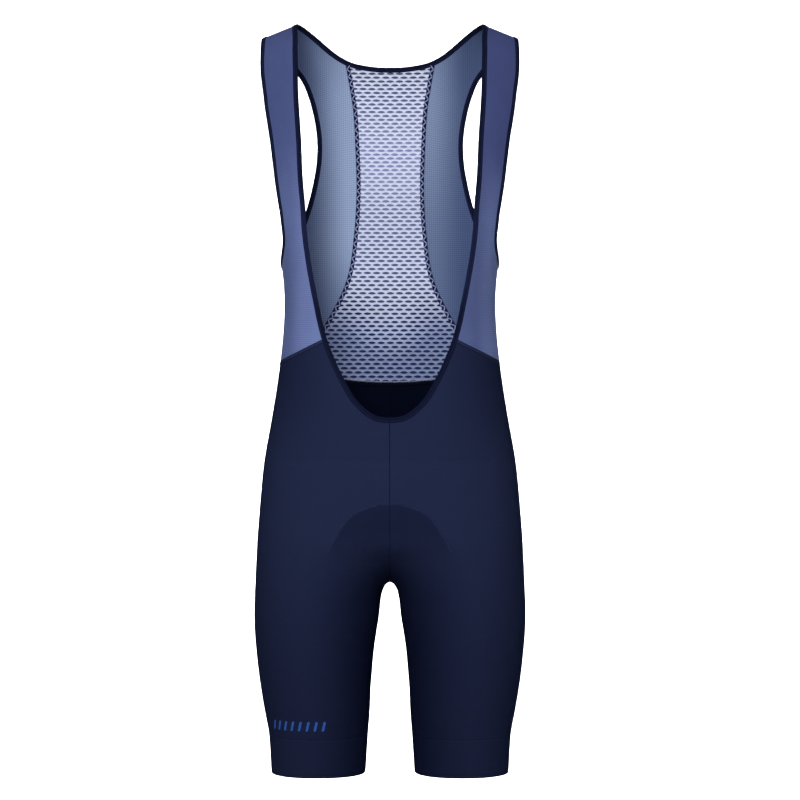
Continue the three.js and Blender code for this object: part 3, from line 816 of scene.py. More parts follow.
def multiply(tree, first, second):
    made = node(tree, "ShaderNodeMix", data_type="RGBA", blend_type="MULTIPLY")
    made.inputs["Factor"].default_value = 1
    tree.links.new(first, made.inputs[6])
    tree.links.new(second, made.inputs[7])
    return made.outputs[2]


def knit_navy():
    made, tree, shader = material("navy knit", linear(39, 46, 75), 0.85, 0)
    grain = ramp(tree, noise(tree, 0.9, 3, (1, 0.6, 1)), 0.3, 0.7, linear(35, 42, 70), linear(42, 50, 79))
    shade = painted_shade_of(tree, 0, 1, (0, 0.016, 0.1), (1, 1, 1))
    tree.links.new(multiply(tree, grain, shade), shader.inputs["Base Color"])
    bump(tree, shader, [(noise(tree, 0.8, 2), 0.25, 0.12), (noise(tree, 60, 2), 0.25, 2.5)])
    return made


# The inner face is near black: partly the knit's own darker back, mostly painted shade for the inside of the garment.
def inside_navy_painted_shade():
    made, tree, shader = material("inside of the navy knit in painted shade", linear(6, 10, 24), 0.9, 0)
    bump(tree, shader, [(noise(tree, 0.8, 2), 0.25, 0.12)])
    return made


def rib_indigo():
    made, tree, shader = material("indigo knit", linear(107, 121, 169), 0.85, 0.02)
    ribs = metric_wave(tree, 2.6, "Y", 0.6)
    fine = ramp(tree, ribs, 0.1, 0.9, linear(103, 117, 165), linear(112, 126, 174))
    cloud = ramp(tree, noise(tree, 22, 2, (1, 0.5, 1)), 0.3, 0.7, (0.92, 0.92, 0.94), (1, 1, 1))
    shade = painted_shade_of(tree, 0, 1, (0, 0, 0.12), (1, 1, 1))
    tree.links.new(multiply(tree, multiply(tree, fine, cloud), shade), shader.inputs["Base Color"])
    bump(tree, shader, [(ribs, 0.3, 0.15), (noise(tree, 0.8, 2), 0.2, 0.1)])
    return made


def grid_steel():
    made, tree, shader = material("steel blue knit", linear(150, 166, 197), 0.85, 0.02)
    across = metric_wave(tree, 2.6, "X", 0.3)
    along = metric_wave(tree, 2.6, "Y", 0.3)
    both = node(tree, "ShaderNodeMath", operation="MAXIMUM")
    tree.links.new(across, both.inputs[0])
    tree.links.new(along, both.inputs[1])
    fine = ramp(tree, both.outputs["Value"], 0.55, 1.0, linear(160, 177, 205), linear(131, 148, 184))
    shade = painted_shade_of(tree, 0, 1, linear(112, 120, 145), (1, 1, 1))
    tree.links.new(multiply(tree, fine, shade), shader.inputs["Base Color"])
    bump(tree, shader, [(both.outputs["Value"], 0.35, 0.2)])
    return made


def yarn_lavender():
    made, tree, shader = material("lavender mesh yarn", linear(205, 210, 232), 0.85, 0.05)
    grain = ramp(tree, noise(tree, 1.2, 3), 0.3, 0.7, linear(210, 216, 245), linear(234, 238, 255))
    shade = painted_shade_of(tree, 0, 1, (1, 1, 1), (0.27, 0.31, 0.42))
    tree.links.new(multiply(tree, grain, shade), shader.inputs["Base Color"])
    bump(tree, shader, [(noise(tree, 0.8, 2), 0.4, 0.2)])
    return made


def ground_knit():
    made, tree, shader = material("mesh ground knit", linear(90, 100, 140), 0.9, 0.03)
    across = metric_wave(tree, 1.3, "X", 0.3)
    fine = ramp(tree, across, 0.2, 0.9, (0.8, 0.8, 0.84), (1, 1, 1))
    shade = painted_shade_of(tree, 0, 1, linear(138, 147, 184), linear(34, 46, 80))
    tree.links.new(multiply(tree, fine, shade), shader.inputs["Base Color"])
    return made


def tape_dark():
    made, tree, shader = material("dark binding tape", linear(22, 28, 56), 0.85, 0.02)
    ribs = metric_wave(tree, 1.0, "X")
    fine = ramp(tree, ribs, 0.2, 0.8, linear(17, 23, 47), linear(28, 34, 66))
    shade = painted_shade_of(tree, 0, 1, (0, 0, 0), (1, 1, 1))
    tree.links.new(multiply(tree, fine, shade), shader.inputs["Base Color"])
    bump(tree, shader, [(ribs, 0.4, 0.15)])
    return made


def pad_black():
    made, tree, shader = material("pad cloth", linear(20, 22, 36), 0.9, 0.05)
    bump(tree, shader, [(noise(tree, 1.5, 3), 0.4, 0.3)])
    return made


def plain(name, colour, roughness=0.85, gloss=0.05):
    return material(name, colour, roughness, gloss)[0]


# Cloth grids: each gives the points of the panel's middle and their normals


def fine_edges(grid):
    """Two more lines close to each border of a grid, so that a sewn edge can turn in sharply."""
    shares = (0, 0.3, 0.6)
    for _ in range(2):
        first = [mix(grid[0], grid[1], s) for s in shares]
        last = [mix(grid[-1], grid[-2], s) for s in shares[::-1]]
        grid = np.concatenate([np.stack(first), grid[1:-1], np.stack(last)])
        grid = grid.swapaxes(0, 1)
    return grid


def bib_places():
    side = line(side_waist, arm_cloth[0], SIDE_SEAM_CELLS)
    outer = np.concatenate([side, arm_cloth[1 : ARMHOLE_CELLS + 1]])
    inner = neck_cloth[strap_at : shoulder_at + 1]
    top = line(outer[-1], inner[-1], STRAP_SEAM_CELLS)
    return fine_edges(patch(strap_seam_line, top, outer, inner))


def back_side_places():
    side = line(arm_cloth[-1], [0, -side_waist[1]], SIDE_SEAM_CELLS)
    outer = np.concatenate([arm_cloth[ARMHOLE_CELLS:], side[1:]])
    inner = np.concatenate([neck_cloth[shoulder_at:mesh_at], mesh_seam_line])
    top = line(outer[0], inner[0], BACK_SIDE_CELLS)
    return fine_edges(patch(top, back_waist_outer, outer, inner))


def level_lengths(places):
    """Metric texture coordinates that run level round the body from the centre back, and straight down."""
    turns = np.linspace(math.pi / 2, 0, 120)
    reaches = np.linspace(places[..., 1].min(), places[..., 1].max(), 60)
    table = np.stack([lengths_along(torso(np.stack([turns, np.full_like(turns, r)], -1))) for r in reaches])
    row = (places[..., 1] - reaches[0]) / (reaches[1] - reaches[0])
    col = (turns[0] - places[..., 0]) / (turns[0] - turns[1])
    i = np.clip(row.astype(int), 0, len(reaches) - 2)
    j = np.clip(col.astype(int), 0, len(turns) - 2)
    upper = mix(table[i, j], table[i, j + 1], col - j)
    lower = mix(table[i + 1, j], table[i + 1, j + 1], col - j)
    return np.stack([mix(upper, lower, row - i), -places[..., 1]], -1)


def shorts_grid(side):
    front = side < 0
    cells = STRAP_SEAM_CELLS + NECK_FRONT_CELLS if front else BACK_SIDE_CELLS + MESH_HALF_CELLS
    if front:
        top = np.concatenate([strap_seam_line, neck_cloth[:strap_at][::-1]])
    else:
        top = np.concatenate([back_waist_outer, back_waist_inner[1:]])
    row = leg_row(YOKE_Z, side, cells)
    share = np.clip(row[:, 0] / half_width(YOKE_Z), 0, 1)
    turn = np.arccos(share ** (ROUNDNESS / 2))
    turn[-1] = math.pi / 2
    yoke = np.stack([turn, np.full_like(turn, -side * side_yoke[1])], -1)
    shares = np.linspace(0, 1, YOKE_CELLS + 1) ** TOP_CROWDING
    outer = line(top[0], yoke[0], shares)
    inner = line(top[-1], yoke[-1], shares)
    upper = torso(patch(top, yoke, outer, inner, shares))
    heights = np.concatenate(
        [levels(YOKE_Z, CROTCH_Z, SEAT_CELLS)[1:], levels(BAND_TOP_Z, CROTCH_Z, LEG_CELLS)[::-1][1:]]
    )
    lower = np.stack([leg_row(z, side, cells) for z in heights])
    points = np.concatenate([upper, lower])
    upper_normals = torso_normal(patch(top, yoke, outer, inner, shares))
    normals = np.concatenate([upper_normals, unit(leg_slope(lower))])
    return fine_edges(points), unit(fine_edges(normals))


def band_grid():
    cells = STRAP_SEAM_CELLS + NECK_FRONT_CELLS
    rows = []
    for z in np.linspace(BAND_TOP_Z, HEM_Z, BAND_CELLS + 1):
        front_row = leg_row(z, -1, cells)
        back_row = leg_row(z, 1, cells)
        rows.append(np.concatenate([front_row, back_row[1:-1][::-1]]))
    points = np.stack(rows)
    return points, unit(leg_slope(points))


def closed_frames(places, side, before=None, after=None):
    """Points, directions across the cloth and normals along a closed edge."""
    across = across_at(places, side, places[-1] if before is None else before, places[0] if after is None else after)
    return torso(places), across, torso_normal(places)


# The tape's section: a strip folded over the cloth's edge. Each row is the way in from the edge, and the height.
TAPE_SECTION = (
    (6.3, 1.3),
    (5.2, 1.35),
    (4.6, 1.2),
    (4.0, 1.35),
    (1.2, 1.35),
    (0.35, 1.05),
    (0, 0),
    (0.35, -1.05),
    (1.2, -1.35),
    (4.0, -1.35),
    (4.6, -1.2),
    (5.2, -1.35),
    (6.3, -1.3),
    (6.3, -0.65),
    (1.2, -0.65),
    (0.8, 0),
    (1.2, 0.65),
    (6.3, 0.65),
)


def mirrored(vertices, faces):
    return vertices * np.array([-1, 1, 1]), [list(face)[::-1] for face in faces]


# The pad, in cuts square to the centre seam


def pad_centre(cells):
    half = cells // 2
    front = levels(PAD_FRONT_Z, CROTCH_Z, half)
    back = levels(PAD_BACK_Z, CROTCH_Z, half)[::-1][1:]
    front_points = np.stack([np.zeros_like(front), -centre_depth(front, -1), front], -1)
    back_points = np.stack([np.zeros_like(back), centre_depth(back, 1), back], -1)
    return np.concatenate([front_points, back_points])


def pad_grid():
    centre = pad_centre(PAD_CELLS)
    along = unit(np.gradient(centre, axis=0))
    step = pad_half(np.linspace(0, 1, len(centre))) / PAD_HALF_CELLS
    heading = np.tile([1.0, 0, 0], (len(centre), 1))
    columns = [centre]
    for _ in range(PAD_HALF_CELLS):
        start = columns[-1]
        point = start + heading * step[:, None]
        for _ in range(6):
            slope = leg_slope(point)
            slope -= along * (slope * along).sum(-1, keepdims=True)
            point -= slope * (leg_field(point) / (slope * slope).sum(-1))[:, None]
        heading = unit(point - start)
        columns.append(point)
    half = np.stack(columns, 1)
    points = np.concatenate([half[:, 1:][:, ::-1] * np.array([-1, 1, 1]), half], 1)
    return points, unit(leg_slope(points))


# Building: each solid of the model is shown by a finer piece of cloth

# Where the pad shows through the front: height, the arch's half width, and how soft its edge is
PAD_ARCH = (
    (-597, 10, 3),
    (-599.5, 24, 3),
    (-606, 40, 3),
    (-614, 50, 3),
    (-626, 59, 4),
    (-645, 71, 8),
    (-670, 80, 30),
    (-700, 84, 50),
    (-760, 84, 60),
)
PAD_RISE = 0.7
PAD_SHADE = 0.66
SEAM_RIDGE = 0.35
STRAP_HEM = 4.3

# The cloth's tone runs from 0 to 1, and even cloth has this much
EVEN = 0.64


def show(obj, source, finishes, slot):
    """The piece rides on the body in place of its solid."""
    for finish in finishes:
        obj.data.materials.append(finish)
    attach(obj, BODY)
    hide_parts(source)
    return obj


def trim(name, vertices, faces, finish, slot, uv=None):
    """Sewing and other trim that rides on the body beside its cloth."""
    obj = new_object(name, vertices, faces, uv)
    obj.data.materials.append(finish)
    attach(obj, BODY)
    return obj


def seam_thread(points, normals, lift, radius):
    """A thin dark thread that lies in a seam."""
    across = unit(np.cross(np.gradient(points, axis=0), normals))
    return ribbon(points + normals * lift, across, normals, round_section(radius))[:2]


def from_top(points):
    """Distance along the cloth from the grid's first row."""
    steps = np.linalg.norm(np.diff(points, axis=0), axis=-1)
    found = np.zeros(points.shape[:2])
    found[1:] = np.cumsum(steps, axis=0)
    return found


def arch_share(points):
    """1 where the pad lies under the front of the shorts, 0 outside it, and a slope between."""
    heights, halves, soft = np.array(sorted(PAD_ARCH)).T
    z = points[..., 2]
    half = np.interp(z, heights, halves, right=0)
    slope = np.interp(z, heights, soft)
    inside = step_up(half - np.abs(points[..., 0]), -slope / 2, slope / 2)
    return np.where(z > heights[-1] + 0.5, 0, inside)


def front_relief(points, lift):
    """The turned hem under the straps and the pad's edge. Returns the lift and the cloth's tone, darker over the pad
    and lighter on the hem, where the lighter strip is a painted highlight.
    """
    down = from_top(points)
    strap = (np.arange(points.shape[1]) < STRAP_SEAM_CELLS + 3)[None]
    hem = strap * (step_up(down, 0.3, 1.2) - step_up(down, STRAP_HEM - 1.0, STRAP_HEM))
    pad = arch_share(points)
    relief = PAD_RISE * pad * step_up(points[..., 2], -690, -650)
    under = step_up(points[..., 2], -725, -635) * (1 - 0.75 * step_up(-points[..., 2], 625, 675))
    shade = 1 - (1 - PAD_SHADE) * pad * under
    # The hem strip's lighter tone is a painted highlight on its raised fold.
    return lift + SEAM_RIDGE * hem + relief, shade * (1 + 0.55 * hem)


def leg_painted_shade(points):
    """Painted shade: the cloth is a little darker at the hips, on the inner side of the legs and down them, where less
    light falls.
    """
    x, z = np.abs(points[..., 0]), points[..., 2]
    inner = step_up(-x, -108, -28) * step_up(-z, 640, 720)
    hip = step_up(x, 50, 125) * (1 - step_up(-z, 440, 560))
    return (1 - 0.48 * inner) * (1 - 0.2 * hip) * (1 - 0.2 * step_up(-z, 610, 790))


def along_rows(points, normals, distance, cols):
    """The line at a distance below the grid's first row, over its first columns."""
    down = from_top(points)
    found = [
        [np.interp(distance, down[:, c], grid[:, c, k]) for grid in (points, normals) for k in range(3)]
        for c in range(cols)
    ]
    found = np.array(found)
    return found[:, :3], unit(found[:, 3:])


def build_shorts(navy, inside):
    dark = plain("seam thread", linear(8, 11, 24))
    for side, name, flat, area in (
        (-1, "front_shorts", (0.27, 0.5), 0.102),
        (1, "back_shorts", (0.27, 0.475), 0.109),
    ):
        points, normals = shorts_grid(side)
        lift = rolled_edge(*points.shape[:2], ("top", "left", "right"))
        tone = np.ones(points.shape[:2])
        if side < 0:
            lift, tone = front_relief(points, lift)
        tone = EVEN * tone * leg_painted_shade(points)
        for wearer, mirror in (("left", False), ("right", True)):
            full = f"{name}_{wearer}"
            obj = shell(f"cloth_{full}", points, normals, SHELL / 2, SHELL, lift, tone, mirror=mirror)
            show(obj, full, (navy, inside), "shorts_knit")
        centre = points[:, -1]
        thread = seam_thread(centre, normals[:, -1], SHELL / 2 - 0.5, 0.35)
        trim(f"centre_seam_{name[:-7]}", *thread, dark, "shorts_knit")
        if side < 0:
            cols = STRAP_SEAM_CELLS + 3
            upper = seam_thread(points[0, :cols], normals[0, :cols], SHELL / 2 - 0.3, 0.5)
            lower = seam_thread(*along_rows(points, normals, STRAP_HEM, cols), SHELL / 2 - 0.1, 0.42)
            both = gathered([upper, lower])
            trim("strap_seam_threads", *gathered([both, mirrored(*both)]), dark, "shorts_knit")
    edge = shorts_grid(1)
    side_line = seam_thread(edge[0][:, 0], edge[1][:, 0], SHELL / 2 - 0.5, 0.35)
    trim("side_seam_threads", *gathered([side_line, mirrored(*side_line)]), dark, "shorts_knit")


def build_pad_stitches():
    """A zigzag row that sews the pad's front edge to the cloth."""
    points, normals = shorts_grid(-1)
    heights, halves, soft = np.array(sorted(PAD_ARCH)).T
    found = []
    for z in np.linspace(heights[-1] - 1, -655, 60):
        row = int(np.argmin(np.abs(points[:, -1, 2] - z)))
        half = float(np.interp(z, heights, halves))
        order = np.argsort(points[row, :, 0])
        found.append(
            [np.interp(half, points[row, order, 0], v[row, order, k]) for v in (points, normals) for k in range(3)]
        )
    found = np.array(found)
    line_points, line_normals = even_steps(found[:, :3], [found[:, 3:]], 2.2)
    line_normals = unit(line_normals)
    across = unit(np.cross(np.gradient(line_points, axis=0), line_normals))
    swing = np.where(np.arange(len(line_points)) % 2, 1.6, -1.6)[:, None]
    zigzag = line_points + across * swing + line_normals * (SHELL / 2 + 0.35)
    thread = plain("pad stitch thread", linear(38, 45, 78))
    parts = [stitches(zigzag[:-1], zigzag[1:], line_normals[:-1], 0.34)]
    parts.append(mirrored(*parts[0]))
    trim("pad_stitches", *gathered(parts), thread, "shorts_knit")


DASHES = 8
DASH_TOP_Z = -863.5
DASH_FOOT_Z = -875
DASH_INNER_X = 78
DASH_WIDTH = 3.0
DASH_PITCH = 9.8
DASH_SLANT = 2.5


def build_dashes():
    """A plain row of slanted dashes printed round the outside of the right leg, above the band."""
    heights = np.linspace(DASH_TOP_Z, DASH_FOOT_Z, 6)
    rows = [leg_row(z, -1, 120) for z in heights]
    blue = plain("printed blue", linear(44, 82, 156))
    parts = []
    for dash in range(DASHES):
        grid = []
        for step, row in enumerate(rows):
            lengths = lengths_along(row)
            first = float(np.interp(-DASH_INNER_X, -row[:, 0], lengths))
            slant = DASH_SLANT * step / (len(rows) - 1)
            places = first - dash * DASH_PITCH - slant - np.linspace(0, DASH_WIDTH, 4)
            grid.append(np.stack([np.interp(places, lengths, row[:, k]) for k in range(3)], -1))
        points = np.stack(grid)
        normals = unit(leg_slope(points))
        raised = points + normals * (SHELL / 2 + 0.12)
        sunk = points + normals * (SHELL / 2 - 0.3)
        shape = points.shape[:2]
        vertices = np.concatenate([raised.reshape(-1, 3), sunk.reshape(-1, 3)])
        quads = grid_faces(*shape)
        parts.append((vertices, quads.tolist() + (quads[:, ::-1] + shape[0] * shape[1]).tolist()))
    trim("leg_dashes", *mirrored(*gathered(parts)), blue, "shorts_knit")


def build_bands(navy, inside):
    points, normals = band_grid()
    tone = EVEN * leg_painted_shade(points)
    down = from_top(points)
    fold = 0.2 * step_up(down, 0, 12) - 0.35 * step_up(down, 46.2, 48)
    for wearer, mirror in (("left", False), ("right", True)):
        full = f"leg_band_{wearer}"
        obj = shell(f"cloth_{full}", points, normals, SHELL / 2, 1.4, fold, tone, wrap=True, mirror=mirror)
        show(obj, full, (navy, inside), "leg_band_knit")


# Painted shade and light on the straps: their tone at the shoulder, low down at the side and low down beside the
# neckline, and by which heights it changes; the two straps differ as the light fell on them
STRAP_PAINTED_SHADE = dict(left=(0.31, 0.92, 0.53, 150, 310), right=(0.37, 0.67, 0.85, 120, 290))
# The back sides' tone outside, and inside, where it is painted shade that is darkest on the wearer's left: beside the
# mesh, the share it loses away from it between two distances from the centre, and the share it loses down to the waist
# between two heights
EVEN_SIDE = 0.46
SIDE_PAINTED_SHADE = dict(left=(0.55, 0.9, 46, 100, 0.56, 80, 300), right=(0.8, 0.8, 48, 112, 0.5, 255, 365))


def build_upper(indigo, steel):
    for name, places, finish, slot, flat, area in (
        ("bib_strap", bib_places(), indigo, "strap_knit", (0.068, 0.45), 0.0215),
        ("back_side", back_side_places(), steel, "back_side_knit", (0.115, 0.46), 0.031),
    ):
        points, normals = torso_grid(places)
        uv = level_lengths(places)
        x, z = points[..., 0], points[..., 2]
        lift = rolled_edge(*points.shape[:2], ("top", "bottom", "left", "right"), 0.4)
        for wearer, mirror in (("left", False), ("right", True)):
            full = f"{name}_{wearer}"
            if name == "bib_strap":
                high, outer, inner, start, end = STRAP_PAINTED_SHADE[wearer]
                low = mix(outer, inner, step_up(-x, -126, -104))
                tone = mix(high, low, step_up(-z, start, end))
                within = tone
            else:
                most, fall, near, far, drop, start, end = SIDE_PAINTED_SHADE[wearer]
                tone = EVEN_SIDE
                within = most * (1 - fall * step_up(x, near, far)) * (1 - drop * step_up(-z, start, end))
            obj = shell(f"cloth_{full}", points, normals, SHELL / 2, SHELL, lift, tone, False, mirror, uv, within)
            show(obj, full, (finish, finish), slot)


# The tape's tone, which is raised beside the lower half of the neckline as painted light
EVEN_TAPE = 0.5


def build_bindings(tape):
    thread = plain("binding thread", linear(38, 45, 82))
    whole_neck = np.concatenate([neck_half, over(neck_half[1:-1])[::-1]])
    frames = closed_frames(whole_neck, 1)
    vertices, faces, uv = ribbon(*frames, TAPE_SECTION, closed=True)
    z = vertices[:, 2]
    # Painted light: the neck tape is lighter between these heights.
    tone = EVEN_TAPE + 0.45 * step_up(-z, 205, 260) * (1 - step_up(-z, 320, 370))
    obj = new_object("tape_neck", vertices, faces, uv, tone)
    show(obj, "neck_binding", (tape,), "binding_tape")
    trim("neck_stitches", *tape_stitches(frames), thread, "binding_tape")

    frames = closed_frames(arm_half[:-1], -1, past_side(arm_half[1]), arm_half[-1])
    vertices, faces, uv = ribbon(*frames, TAPE_SECTION, closed=True)
    sewn = tape_stitches(frames)
    for wearer in ("left", "right"):
        if wearer == "right":
            vertices, faces = mirrored(vertices, faces)
            sewn = mirrored(*sewn)
        obj = new_object(f"tape_armhole_{wearer}", vertices, faces, uv, np.full(len(vertices), EVEN_TAPE))
        show(obj, f"armhole_binding_{wearer}", (tape,), "binding_tape")
        trim(f"armhole_stitches_{wearer}", *sewn, thread, "binding_tape")


TAPE_SEAM = 4.6
TAPE_STITCH = 2.6
TAPE_STITCH_LENGTH = 2.0


def tape_stitches(frames):
    """Rows of short stitches along a tape's seam, on both faces."""
    points, across, normals = frames
    line_points, ways, ups = even_steps(points + across * TAPE_SEAM, [across, normals], TAPE_STITCH)
    ups = unit(ups)
    along = unit(np.gradient(line_points, axis=0))
    half = along * TAPE_STITCH_LENGTH / 2
    parts = []
    for side in (1, -1):
        middle = line_points + ups * side * 1.3
        parts.append(stitches(middle - half, middle + half, ups * side, 0.26))
    return gathered(parts)


def build_pad():
    points, normals = pad_grid()
    rows, cols = points.shape[:2]
    edge = np.minimum(np.arange(cols), np.arange(cols)[::-1]) / (cols / 2)
    ends = np.minimum(np.arange(rows), np.arange(rows)[::-1]) / (rows / 2)
    body = step_up(edge, 0, 0.3)[None] * step_up(ends, 0, 0.12)[:, None]
    groove = 0.8 * np.exp(-(((edge - 0.45) / 0.05) ** 2))[None] * np.ones((rows, 1))
    thick = PAD_THICKNESS * (0.25 + 0.75 * body) - groove
    inside = -(CLOTH / 2 + PAD_CLEARANCE)
    base = points + normals * inside
    obj = layered("seat_pad", base, base - normals * thick[..., None])
    show(obj, "pad", (pad_black(),), "pad_cloth")


def layered(name, outer, inner):
    """A closed piece between two grids."""
    rows, cols = outer.shape[:2]
    count = rows * cols
    vertices = np.concatenate([outer.reshape(-1, 3), inner.reshape(-1, 3)])
    quads = grid_faces(rows, cols)
    faces = quads[:, ::-1].tolist() + (quads + count).tolist()
    border = (
        list(range(cols - 1))
        + [r * cols + cols - 1 for r in range(rows - 1)]
        + list(range(count - 1, count - cols, -1))
        + [r * cols for r in range(rows - 1, 0, -1)]
    )
    for here, ahead in zip(border, border[1:] + border[:1]):
        faces.append([here, ahead, ahead + count, here + count])
    uv = cloth_lengths(outer)
    return new_object(name, vertices, faces, np.concatenate([uv.reshape(-1, 2)] * 2))


# The open mesh: a brick lattice of lens-shaped holes, cut off at the panel's seams

HOLE_PITCH = 11.8
HOLE_ROW = 4.77
HOLE_STRETCH = 0.078
HOLE_LENGTH = 10.3
HOLE_HEIGHT = 3.1
MESH_SPAN = 140
MESH_TOP_Z = -32
MESH_LENGTH = 430
YARN_RISE = 0.25
GROUND = 0.3
SLIVER = 0.02


def mesh_limits():
    """The panel's outline as functions: half width by reach, and top and bottom reach by distance from the centre."""

    def half_arc(places):
        found = []
        for turn, reach in places:
            turns = np.linspace(turn, math.pi / 2, 80)
            found.append(lengths_along(torso(np.stack([turns, np.full_like(turns, reach)], -1)))[-1])
        return np.array(found)

    seam = mesh_seam_line
    seam_arc = half_arc(seam)
    top = neck_cloth[mesh_at:][::-1]
    top_arc = half_arc(top)
    bottom = back_waist_inner[::-1]
    bottom_arc = half_arc(bottom)
    down = np.argsort(-seam[:, 1])
    return (
        lambda reach: np.interp(-reach, -seam[down, 1], seam_arc[down]),
        lambda way: np.interp(np.abs(way), top_arc, top[:, 1]),
        lambda way: np.interp(np.abs(way), bottom_arc, bottom[:, 1]),
    )


def arc_places(ways, reaches):
    """Places on the torso at a signed distance from the centre back, along a level."""
    turns = np.linspace(math.pi / 2, 0.05, 240)
    levels_at = np.linspace(reaches.min(), reaches.max(), 160)
    table = np.stack([lengths_along(torso(np.stack([turns, np.full_like(turns, r)], -1))) for r in levels_at])
    # The turn is found at the two levels beside each reach, and mixed
    place = np.clip((reaches - levels_at[0]) / (levels_at[1] - levels_at[0]), 0, len(levels_at) - 1.001)
    low = place.astype(int)
    share = place - low
    found = np.empty_like(ways)
    for level in np.unique(low):
        here = low == level
        far = np.abs(ways[here])
        a = np.interp(far, table[level], turns)
        b = np.interp(far, table[level + 1], turns)
        found[here] = mix(a, b, share[here])
    turn = np.where(ways >= 0, found, math.pi - found)
    return np.stack([turn, reaches], -1)


def reach_at(ways, heights):
    """How far down behind each height stands, at each distance from the centre back."""
    reach = -np.vectorize(reach_of)(-heights)
    for _ in range(4):
        steepness = np.maximum(np.sin(np.minimum(-reach / ARCH, math.pi / 2)), 0.2)
        reach += (heights - torso(arc_places(ways, reach))[..., 2]) / steepness
    return reach


def mesh_panel():
    half_at, top_at, bottom_at = mesh_limits()
    p, r = HOLE_PITCH, HOLE_ROW
    edge = np.array([(x * p / 4, -r / 2) for x in (-2, -1, 0, 1, 2)] + [(p / 2, 0)])
    edge = np.concatenate([edge, -edge])
    reach_share = np.array([-0.84, -0.5, 0, 0.5, 0.84])
    lens_x = reach_share * HOLE_LENGTH / 2
    lens_y = -HOLE_HEIGHT / 2 * (1 - np.abs(reach_share) ** 2.2)
    lens = np.concatenate([np.stack([lens_x, lens_y], -1), [(HOLE_LENGTH / 2, 0)]])
    lens = np.concatenate([lens, -lens])
    cell = np.concatenate([edge, lens])

    rng = random.Random(4)
    flat = []
    hole = []
    rows = int(MESH_LENGTH / r)
    columns = int(MESH_SPAN / p)
    for row in range(rows):
        shift = p / 2 if row % 2 else 0
        for col in range(-columns, columns + 1):
            centre = np.array([col * p + shift, row * r])
            points = cell + centre
            points[12:] += np.array([rng.uniform(-0.25, 0.25), rng.uniform(-0.1, 0.1)])
            flat.append(points)
            hole.append(np.array([0] * 12 + [1] * 12))
    flat = np.stack(flat)
    way = flat[..., 0]
    down = flat[..., 1] * (1 + HOLE_STRETCH * flat[..., 1] / MESH_LENGTH)
    reach = reach_at(np.clip(way, -MESH_FOOT_X, MESH_FOOT_X), MESH_TOP_Z - down)
    for _ in range(3):
        half = half_at(reach)
        way = np.clip(way, -half, half)
        reach = np.clip(reach, bottom_at(way), top_at(way))

    count = len(flat)
    offset = (np.arange(count) * 24)[:, None, None]
    k = np.arange(12)
    after = (k + 1) % 12
    ring = np.stack([k, after, after + 12, k + 12], -1)
    quads = (ring[None] + offset).reshape(-1, 4)
    inner = np.stack([k + 12, after + 12], -1)
    hole_edges = (inner[None] + offset).reshape(-1, 2)

    coordinates = np.stack([way.ravel(), reach.ravel()], -1)
    keys, index = np.unique(np.round(coordinates, 2), axis=0, return_inverse=True)
    index = index.reshape(-1)
    is_hole = np.zeros(len(keys))
    np.maximum.at(is_hole, index, np.stack(hole).ravel())
    quads = index[quads]
    hole_edges = index[hole_edges]
    corners = keys[quads]
    diagonal_a = corners[:, 2] - corners[:, 0]
    diagonal_b = corners[:, 3] - corners[:, 1]
    area = np.abs(diagonal_a[:, 0] * diagonal_b[:, 1] - diagonal_a[:, 1] * diagonal_b[:, 0]) / 2
    quads = quads[area > SLIVER]
    span = np.linalg.norm(keys[hole_edges[:, 0]] - keys[hole_edges[:, 1]], axis=-1)
    hole_edges = hole_edges[span > SLIVER]

    places = arc_places(keys[:, 0], keys[:, 1])
    points = torso(places)
    normals = torso_normal(places)
    normals *= np.sign((normals[:, 1:2]))
    rise = (MESH_CLOTH / 2 - YARN_RISE * is_hole)[:, None]
    outer = points + normals * rise
    inner_points = points - normals * rise
    vertices = np.concatenate([outer, inner_points])
    size = len(keys)
    a, b = hole_edges.T
    walls = np.stack([a, b, b + size, a + size], -1)
    faces = []
    for quad in np.concatenate([quads[:, ::-1], quads + size, walls]):
        corners = list(dict.fromkeys(quad.tolist()))
        if len(corners) > 2:
            faces.append(corners)
    uv = np.concatenate([keys, keys])
    return vertices, faces, uv


def mesh_grid():
    """The whole panel as one plain grid."""
    neck = neck_cloth[mesh_at:]
    top = np.concatenate([neck, over(neck[:-1])[::-1]])
    waist = np.concatenate([back_waist_inner, over(back_waist_inner[:-1])[::-1]])
    return patch(top, waist, mesh_seam_line, over(mesh_seam_line))


# How dark the yarn and the ground between it are outside, and inside by height, where it is painted shade
EVEN_MESH = (0.5, 0.6)
MESH_PAINTED_SHADE = (
    (-44, 0.34, 0.8),
    (-90, 0.27, 0.6),
    (-130, 0.27, 0.15),
    (-190, 0.33, 0.1),
    (-230, 0.41, 0.45),
    (-302, 0.39, 0.68),
    (-341, 0.44, 0.83),
    (-380, 0.66, 0.95),
    (-418, 1, 1),
)


def mesh_painted_shade(points, index):
    """Painted shade: the tone by height, and a little darker towards the sides low down."""
    table = np.array(sorted(MESH_PAINTED_SHADE))
    x, z = np.abs(points[..., 0]), points[..., 2]
    aside = 0.3 * step_up(x, 10, 65) * step_up(-z, 310, 390)
    return np.interp(z, table[:, 0], table[:, index]) + aside


def build_mesh():
    """The mesh has open lenses in both faces and a fine ground knit between them."""
    vertices, faces, uv = mesh_panel()
    tone = mesh_painted_shade(vertices, 1)
    tone[: len(tone) // 2] = EVEN_MESH[0]
    obj = new_object("mesh_back", vertices, faces, uv, tone)
    show(obj, "back_mesh", (yarn_lavender(),), "mesh_knit")

    points, normals = torso_grid(mesh_grid())
    within = mesh_painted_shade(points, 2)
    ground = shell("mesh_ground", points, normals, GROUND / 2, GROUND, 0, EVEN_MESH[1], within=within)
    finish = ground_knit()
    ground.data.materials.append(finish)
    ground.data.materials.append(finish)
    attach(ground, BODY)


